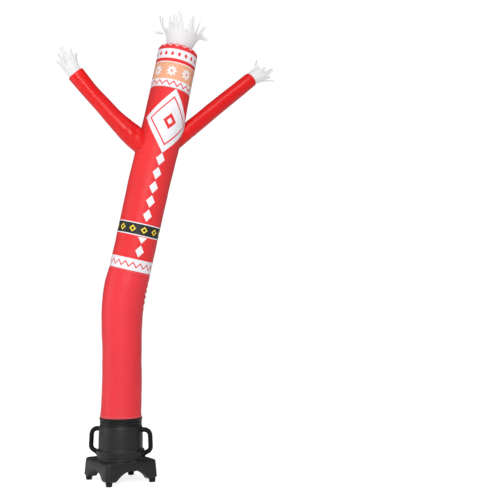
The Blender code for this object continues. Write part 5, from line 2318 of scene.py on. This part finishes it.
@dataclass(frozen=True)
class Foot:
    """The moulded square foot with an arch in each side, and its rubber feet."""

    half_top: float = 0.1990
    half_bottom: float = 0.2080
    bottom: float = 0.0300
    top: float = 0.1650
    corner: float = 0.0350
    edge: float = 0.0160
    foot_chamfer: float = 0.0120
    wall: float = 0.0050
    leg_floor: float = 0.0770
    leg_inner: float = 0.1340
    arch_half: float = 0.1290
    arch_rise: float = 0.0710
    arch_power: float = 1.6        # how straight the arch's flanks are
    duct_radius: float = 0.1500
    foot_offset: float = 0.1725
    foot_radius: float = 0.0245

    def _block(self, name: str, inset: float, low: float, high: float, edge: float, chamfer: float) -> Piece:
        """A drafted block with rounded upright edges.

        Args:
            name: The piece's name.
            inset: How far its sides lie inside the foot's.
            low: Its lowest level.
            high: Its highest level.
            edge: Radius of its upper edge.
            chamfer: Width of the chamfer along its lower edge, if it has one.

        Returns:
            The new object, about the foot's own axis.
        """
        slope = (self.half_bottom - self.half_top) / (self.top - self.bottom)

        def half(level: float) -> float:
            """Half the width at a level."""
            return self.half_bottom - inset - slope * (level - self.bottom)

        corner, wide = self.corner - inset, half(low)
        rows = [(low, wide, corner)]              # level, half the width and corner of each square
        if chamfer:
            rows = [(low, wide - chamfer, corner - chamfer * 0.6),
                    (low + 0.0010, wide - chamfer + 0.0016, corner - chamfer * 0.5),
                    (low + chamfer, wide - 0.0008, corner),
                    (low + chamfer + 0.0020, half(low + chamfer), corner)]
        for level in (low + (high - low) * 0.35, low + (high - low) * 0.7):
            rows.append((level, half(level), corner))
        for turn in np.radians(np.linspace(0.0, 90.0, 9)):
            level, inward = high - edge * (1 - math.sin(turn)), edge * (1 - math.cos(turn))
            rows.append((level, half(level) - inward, corner - inward * 0.6))
        sections = [Section(level, side, side, rounding) for level, side, rounding in rows]
        return stacked(name, sections, upright=True, per_corner=14)

    def _arch(self, turn: float) -> Piece:
        """A half-elliptic bar across two opposite sides, as a cutter.

        Args:
            turn: Its turn about the foot's axis.

        Returns:
            The new object.
        """
        turns = np.linspace(0.0, math.pi, 57)
        outline = [(self.arch_half * math.cos(t),
                    self.bottom + self.arch_rise * math.sin(t) ** self.arch_power) for t in turns]
        outline += [(-self.arch_half, self.bottom - 0.02), (self.arch_half, self.bottom - 0.02)]
        reach = self.half_bottom + 0.02
        rows = [[(x, side * reach, z) for x, z in outline] for side in (-1, 1)]
        return moved(capped("arch", rows, SMOOTH, 1e-6), Matrix.Rotation(turn, 4, "Z"))

    def build(self) -> None:
        """Make the foot and its rubber feet."""
        base = self._block("base_moulding", 0.0, self.bottom, self.top, self.edge, self.foot_chamfer)
        floor_top = self.bottom + self.leg_floor
        cut(base, self._block("room", self.wall, floor_top, self.top - self.wall, self.edge - 0.003, 0.0))
        inner, duct, past = self.leg_inner, self.duct_radius, 0.02
        cut(base, block("between_legs", (-inner, -inner, self.bottom - past), (inner, inner, floor_top + 0.01)))
        low, high = self.top - past, self.top + past
        cut(base, lathe("duct", [(0.0, low), (duct, low), (duct, high), (0.0, high)], 96, closed=False))
        for turn in (0.0, math.pi / 2):
            cut(base, self._arch(turn))
        eased(base, 0.0016, 2, 42.0)
        settle(moved(base, ON_STAND), BLOWER_PLASTIC, ("base",))
        self._fillet()
        self._feet()

    def _fillet(self) -> None:
        """The small fillet between the drum's collar and the foot's top."""
        inside, low = 0.1747, self.top + 0.0001
        curve = arc((inside + 0.0085, low + 0.0085), 0.0085, 180.0, 270.0, 9)
        ring = lathe("collar_fillet", [(inside - 0.0002, low)] + curve, 160)
        cut(ring, self._block("footprint", 0.0004, self.bottom, self.top + 0.03, 0.001, 0.0), "INTERSECT")
        settle(moved(ring, ON_STAND), BLOWER_PLASTIC)

    def _feet(self) -> None:
        """The four rubber feet, each with a groove and a hollow underside."""
        top, radius = self.bottom - CLEARANCE, self.foot_radius
        profile = [
            (0.0, top),
            *beside(radius, top, (-1.0, 0.0), (0.0, -1.0), (0.0, -8.5), (-0.6, -9.5), (-2.0, -10.5),
                    (-2.2, -12.0), (-1.4, -13.2)),
            *beside(radius, 0.0, (-1.8, 4.2), (-2.6, 1.6), (-4.6, 0.0), (-8.2, 0.0), (-9.4, 1.0), (-10.0, 2.4)),
            *beside(0.0, 0.0, (7.0, 2.8), (6.2, 6.0), (0.0, 6.0)),
        ]
        for number, (x, y) in enumerate(FOUR_CORNERS, start=1):
            foot = lathe(f"rubber_foot_{number}", profile, 48, closed=False)
            place = ON_STAND @ Matrix.Translation((x * self.foot_offset, y * self.foot_offset, 0.0))
            settle(moved(foot, place), FOOT_RUBBER, (f"foot_{number}",))


@dataclass(frozen=True)
class Handle:
    """A bent carrying handle that swells where it meets the drum."""

    name: str
    node: str
    turn: float
    radius: float = 0.0172
    reach: float = 0.2265
    bend: float = 0.0400
    splay: float = 0.0040          # how far the grip's foot stands out past its head
    top: float = 0.3770
    grip_low: float = 0.2550
    foot_slope: float = 30.0

    def path(self) -> Array:
        """The handle's middle line.

        Returns:
            Its points, as reach and height.
        """
        middle = self.reach - self.bend
        points = [(0.1450, self.top)]
        points += arc((middle, self.top - self.bend), self.bend, 90.0, 0.0, 18)
        points += arc((middle, self.grip_low), self.bend, 0.0, self.foot_slope - 90.0, 15)
        end_reach, end_height = points[-1]
        fall = (end_reach - 0.1630) * math.tan(math.radians(self.foot_slope))
        points.append((0.1630, end_height - fall))
        line = np.array(points)
        lean = np.clip((0.335 - line[:, 1]) / 0.05, -1.0, 1.0)
        line[:, 0] += self.splay * lean * (line[:, 0] > middle - 0.02)
        run = run_along(line)
        return along(line, run, np.linspace(0.0, run[-1], 110))

    def build(self, duct: Duct) -> None:
        """Make the handle and trim it on the drum.

        Args:
            duct: The drum.
        """
        line = self.path()
        surface = np.where(line[:, 1] > 0.30, 0.1595, 0.1765)
        near = np.maximum(line[:, 0] - surface, 0.0)
        swell = 1 + 0.34 * np.exp(-((near / 0.0065) ** 1.3)) * (np.abs(line[:, 1] - 0.305) > 0.035)
        radii = self.radius * np.where(line[:, 0] < surface, 1.34, swell)
        path = np.stack([line[:, 0], np.zeros(len(line)), line[:, 1]], axis=1)
        handle = moved(rod(self.name, path, radii, 40), Matrix.Rotation(self.turn, 4, "Z"))
        cut(handle, duct.plug())
        shaded(handle.data, 40.0)
        settle(moved(handle, ON_STAND), HANDLE_PLASTIC, (self.node,))


# ------------------------------------------------------------------ the control box

ON_BOX = ON_STAND @ Matrix.Rotation(math.radians(45.0), 4, "Z")


@dataclass(frozen=True)
class ControlBox:
    """The screwed plate, the hooded box on it, the switch, the screws and the gland."""

    plate_half: float = 0.0780
    plate_low: float = 0.2360
    plate_high: float = 0.3880
    plate_front: float = 0.1765
    box_half: float = 0.0560
    box_low: float = 0.2520
    box_high: float = 0.3780
    recess: float = 0.2100
    hood_low: float = 0.3080
    hood_front: float = 0.2290
    switch_side: float = 0.0120
    switch_height: float = 0.2780
    screw_inset: float = 0.0100
    gland_side: float = -0.0300
    gland_reach: float = 0.1930

    def build(self, duct: Duct) -> None:
        """Make every piece of the box.

        Args:
            duct: The drum that it stands on.
        """
        self._plate(duct)
        self._hood()
        self._frame()
        self._key()
        self._screws()
        self._gland()

    def _plate(self, duct: Duct) -> None:
        """The plate, hollowed to the drum behind, with a rim and screw pads.

        Args:
            duct: The drum.
        """
        middle = (self.plate_low + self.plate_high) / 2
        tall = (self.plate_high - self.plate_low) / 2
        front = self.plate_front
        plate = stacked("control_plate", eased_sections(0.1300, front, self.plate_half, tall, 0.012, 0.0032,
                                                        0.0006, middle))
        half, under = self.plate_half, self.box_half
        groove = stacked("groove", (Section(front - 0.0012, half - 0.0175, tall - 0.0175, 0.006, middle),
                                    Section(front + 0.0050, half - 0.0163, tall - 0.0163, 0.007, middle)))
        island = stacked("island", (Section(front - 0.0020, under + 0.0012, tall - 0.0122, 0.004, middle),
                                    Section(front + 0.0060, under + 0.0008, tall - 0.0126, 0.004, middle)))
        cut(groove, island)
        cut(plate, groove)
        cut(plate, moved(duct.plug(), Matrix.Rotation(math.radians(-45.0), 4, "Z")))
        eased(plate, 0.0005, 2, 40.0)
        settle(moved(plate, ON_BOX), BLOWER_PLASTIC, ("control_flange",))

    def _hood(self) -> None:
        """The box with its deep hood over the switch."""
        middle, tall = (self.box_low + self.box_high) / 2, (self.box_high - self.box_low) / 2
        back = self.plate_front + CLEARANCE
        walls = eased_sections(back, self.recess, self.box_half, tall, 0.0050, 0.0024, 0.0012, middle)
        housing = stacked("control_hood", walls)
        hood_middle, hood_tall = (self.hood_low + self.box_high) / 2, (self.box_high - self.hood_low) / 2
        sections = [Section(back + 0.012, self.box_half - 0.0006, hood_tall - 0.0006, 0.0050, hood_middle)]
        for turn in np.radians(np.linspace(0.0, 90.0, 9)):
            inward = 0.0010 + 0.0100 * (1 - math.cos(turn))
            level = self.hood_front - 0.0110 * (1 - math.sin(turn))
            sections.append(Section(level, self.box_half - inward, hood_tall - 0.62 * inward,
                                    max(0.0085 - 0.35 * inward, 0.003), hood_middle))
        cut(housing, stacked("hood", sections), "UNION")
        low, high = self.box_low + 0.0055, self.box_high - 0.0120
        half, level = (high - low) / 2, (high + low) / 2
        room = (Section(back - 0.01, self.box_half - 0.0055, half, 0.003, level),
                Section(self.recess - 0.0055, self.box_half - 0.0065, half - 0.001, 0.003, level))
        cut(housing, stacked("room", room))
        switch, hole = np.array((self.recess, self.switch_side, self.switch_height)), (0.02, 0.0159, 0.0138)
        cut(housing, block("switch_hole", switch - hole, switch + hole))
        eased(housing, 0.0011, 3, 34.0)
        settle(moved(housing, ON_BOX), BLOWER_PLASTIC, ("control_housing",))

    def _frame(self) -> None:
        """The switch's frame, with a raised rim that slopes in to the key."""
        face = self.recess + CLEARANCE
        frame = stacked("switch_frame",
                        eased_sections(face, face + 0.0030, 0.0220, 0.0190, 0.0024, 0.0012, 0.0002))
        cut(frame, block("key_hole", (face - 0.01, -0.0154, -0.0133), (face + 0.01, 0.0154, 0.0133)))
        eased(frame, 0.0006, 2, 40.0)
        place = ON_BOX @ Matrix.Translation((0.0, self.switch_side, self.switch_height))
        settle(moved(frame, place), SWITCH_PLASTIC, ("switch_bezel",))

    def _key(self) -> None:
        """The rocking key and the two marks on its halves."""
        half, tall = 0.0140, 0.0130
        face, hollow, power, mark_lift = 0.0036, 0.0026, 1.35, 0.00012
        outline = arc((0.0, 0.0), half, 90.0, 270.0, 25)
        outline += [(0.0062, -half)]
        outline += [(face + hollow * abs(y / half) ** power, y)
                    for y in np.linspace(-half * 0.94, half * 0.94, 25)]
        outline += [(0.0062, half)]
        rows = [[(x, y, side * tall) for x, y in outline] for side in (-1, 1)]
        key = eased(capped("switch_key", rows, SMOOTH, 1e-6), 0.0006, 3, 40.0)
        place = (ON_BOX @ Matrix.Translation((self.recess, self.switch_side, self.switch_height))
                 @ Matrix.Rotation(math.radians(-8.0), 4, "Z"))
        settle(moved(key, place), LAMP_GREEN, ("switch_rocker",), Body.ROCKER)

        def on_face(y: Array, z: Array) -> Array:
            """Points on the key's hollow face."""
            return np.stack([face + mark_lift + hollow * np.abs(y / half) ** power, y, z], axis=1)

        bar = np.linspace(-0.0094, -0.0050, 9)
        turns = turns_round(32)
        ring = on_face(0.0072 + 0.0020 * np.cos(turns), 0.0020 * np.sin(turns))
        marks = joined("switch_marks", [rod("bar", on_face(bar, 0.0 * bar), 0.00042, 8),
                                        rod("ring", ring, 0.00038, 8, closed=True)])
        settle(moved(marks, place), MARK_PAINT, (), Body.ROCKER)

    def _screws(self) -> None:
        """Four pan-head screws with a cross recess."""
        radius, high = 0.0052, 0.0028
        dome = [(radius * math.sin(t), high * math.cos(t) ** 0.7) for t in np.linspace(0.0, 1.45, 9)]
        side = self.plate_half - self.screw_inset
        low, top = self.plate_low + self.screw_inset, self.plate_high - self.screw_inset
        for number, (y, z) in enumerate(((side, top), (-side, top), (-side, low), (side, low)), start=1):
            profile = [*dome, (radius, 0.0004), (radius - 0.0003, 0.0), (0.0, 0.0)]
            head = lathe(f"pan_screw_{number}", profile, 40, closed=False)
            for half_x, half_y in ((0.0030, 0.0005), (0.0005, 0.0030)):
                cut(head, block("slot", (-half_x, -half_y, 0.0013), (half_x, half_y, 0.004)))
            eased(head, 0.00012, 1, 50.0)
            place = (ON_BOX @ Matrix.Translation((self.plate_front + CLEARANCE, y, z))
                     @ Matrix.Rotation(math.radians(23.0 + 71.0 * number), 4, "X")
                     @ Matrix.Rotation(math.pi / 2, 4, "Y"))
            settle(moved(head, place), BRIGHT_METAL, (f"screw_{number}",))

    def _gland(self) -> None:
        """The hexagon and the domed nut under the box, with a rubber bush in the bore."""
        nut = beside(0.0, 0.0, (0.0, 0.0), (11.7, 0.0), (12.5, -0.9), (12.5, -8.1), (11.7, -9.0), (0.0, -9.0))
        hexagon = lathe("gland_nut", nut, 6, closed=False, angle=20.0)
        dome = lathe("dome", [
            (0.0, -0.0050), (0.0096, -0.0050), (0.0098, -0.0110), (0.0098, -0.0175), (0.0095, -0.0195),
            (0.0089, -0.0220), (0.0078, -0.0240), (0.0066, -0.0250), (0.0, -0.0250)], 8, closed=False)
        cut(hexagon, dome, "UNION")
        bore = lathe("bore", [(0.0, 0.002), (0.0044, 0.002), (0.0044, -0.03), (0.0, -0.03)], 32, closed=False)
        cut(hexagon, bore)
        eased(hexagon, 0.0005, 2, 25.0)
        place = ON_BOX @ Matrix.Translation((self.gland_reach, self.gland_side, self.box_low - CLEARANCE))
        settle(moved(hexagon, place), BRIGHT_METAL, ("cable_gland",))
        bush = lathe("gland_bush", beside(0.0, 0.0, (2.3, -1.0), (4.3, -1.0), (4.3, -24.0), (3.8, -24.6),
                                          (2.8, -24.6), (2.3, -24.0)), 32)
        settle(moved(bush, place), FOOT_RUBBER)


# ------------------------------------------------------------------ the studio

@dataclass(frozen=True)
class Lamp:
    """A soft rectangular lamp, placed round the blower as the camera sees it."""

    name: str
    right: float
    towards: float
    height: float
    aim: float
    size: tuple[float, float]
    power: float


@dataclass(frozen=True)
class Studio:
    """A pale floor, an even sky, three soft lamps and the camera."""

    ahead: tuple[float, float] = (0.438, 0.899)
    distance: float = 6.8
    eye_height: float = 1.27
    yaw: float = math.atan(127.8 / 900.0)
    pitch: float = math.atan(58.0 / 900.0)
    sensor: float = 36.0
    lens: float = 64.8
    sky: float = 0.26
    towards_camera: float = 0.34   # how much brighter the sky is behind the camera
    towards_left: float = 0.12     # how much brighter it is on the left
    least: float = 0.07
    lamps: tuple[Lamp, ...] = (
        Lamp("key lamp", -0.3, 5.6, 3.1, 1.7, (1.8, 3.0), 150.0),
        Lamp("side lamp", -4.2, 0.4, 1.6, 1.3, (1.4, 3.0), 38.0),
        Lamp("top lamp", 0.4, 2.8, 6.0, 2.4, (4.4, 1.2), 58.0),
    )

    @property
    def forward(self) -> Vector:
        """The level direction from the camera's place to the blower."""
        return Vector((*self.ahead, 0.0)).normalized()

    @property
    def rightward(self) -> Vector:
        """The camera's right, level."""
        return self.forward.cross(Vector((0.0, 0.0, 1.0)))

    def build(self) -> None:
        """Set up the world, the lamps, the floor and the camera."""
        self._world()
        for lamp in self.lamps:
            self._lamp(lamp)
        self._floor()
        self._camera()
        bpy.context.scene.view_settings.view_transform = "Standard"

    def _world(self) -> None:
        """Light mostly from the camera's side and the left, and plain white behind the object."""
        world = bpy.data.worlds.new("studio")
        world.use_nodes = True
        graph = Graph(world.node_tree)
        ray = graph.wire("LightPath", output="Is Camera Ray")
        brighter = tuple(-self.forward * self.towards_camera - self.rightward * self.towards_left)
        aside = graph.wire("VectorMath", (graph.wire("TexCoord", output="Generated"), brighter), "Value",
                           operation="DOT_PRODUCT")
        strength = graph.math("MAXIMUM", ray * 1.02, graph.math("MAXIMUM", aside + self.sky, self.least))
        for name, value in (("Color", (1.0, 1.0, 1.0)), ("Strength", strength)):
            graph.feed(world.node_tree.nodes["Background"].inputs[name], value)
        bpy.context.scene.world = world

    def _lamp(self, lamp: Lamp) -> None:
        """Hang a lamp and aim it at the blower's axis.

        Args:
            lamp: The lamp.
        """
        light = bpy.data.lights.new(lamp.name, "AREA")
        light.shape, light.energy = "RECTANGLE", lamp.power
        light.size, light.size_y = lamp.size
        place = Vector((*STAND, lamp.height)) + self.rightward * lamp.right - self.forward * lamp.towards
        self._aimed(lamp.name, light, place, Vector((*STAND, lamp.aim)) - place)

    def _aimed(self, name: str, data: bpy.types.ID, place: Vector, way: Vector) -> Piece:
        """A lamp or camera at a place, looking one way.

        Args:
            name: Its name.
            data: The lamp's or camera's data.
            place: The place.
            way: Where it looks from there.

        Returns:
            The new object.
        """
        piece = linked(name, data)
        piece.location = place
        piece.rotation_euler = way.to_track_quat("-Z", "Y").to_euler()
        return piece

    def _floor(self) -> None:
        """A wide pale floor with a faint unevenness."""
        rings = [(0.0, 0.0), (0.6, 0.0), (1.5, 0.0), (4.0, 0.0), (12.0, 0.0), (60.0, 0.0)]
        floor = lathe("floor", rings, 96, closed=False)
        floor.data.flip_normals()
        floor.data.materials.append(PaleFloor("pale floor").material())

    def _camera(self) -> None:
        """The camera, a little right of the blower's line and looking slightly up."""
        data = bpy.data.cameras.new("camera")
        data.sensor_width = self.sensor
        data.lens = self.lens
        data.clip_end = 200.0
        place = Vector((*STAND, self.eye_height)) - self.forward * self.distance
        level = self.forward * math.cos(self.yaw) + self.rightward * math.sin(self.yaw)
        way = level * math.cos(self.pitch) + Vector((0.0, 0.0, math.sin(self.pitch)))
        bpy.context.scene.camera = self._aimed("camera", data, place, way)


# ------------------------------------------------------------------ assembly

def dress_guard() -> None:
    """Give the intake guard under the foot the blower's plastic."""
    guard = frame["nodes"]["intake_guard"]
    for slot in guard.material_slots:
        slot.material = BLOWER_PLASTIC.material()


def main() -> None:
    """Build the blower, then the cloth on it, then the studio round them."""
    logging.basicConfig(level=logging.INFO, format="%(name)s: %(message)s")
    duct = Duct()
    duct.build()
    Foot().build()
    Handle("carry_handle_left", "handle_left", math.radians(135.0)).build(duct)
    Handle("carry_handle_right", "handle_right", math.radians(-45.0)).build(duct)
    ControlBox().build(duct)
    dress_guard()
    AirFigure().build()
    Studio().build()


if __name__ == "__main__":
    main()
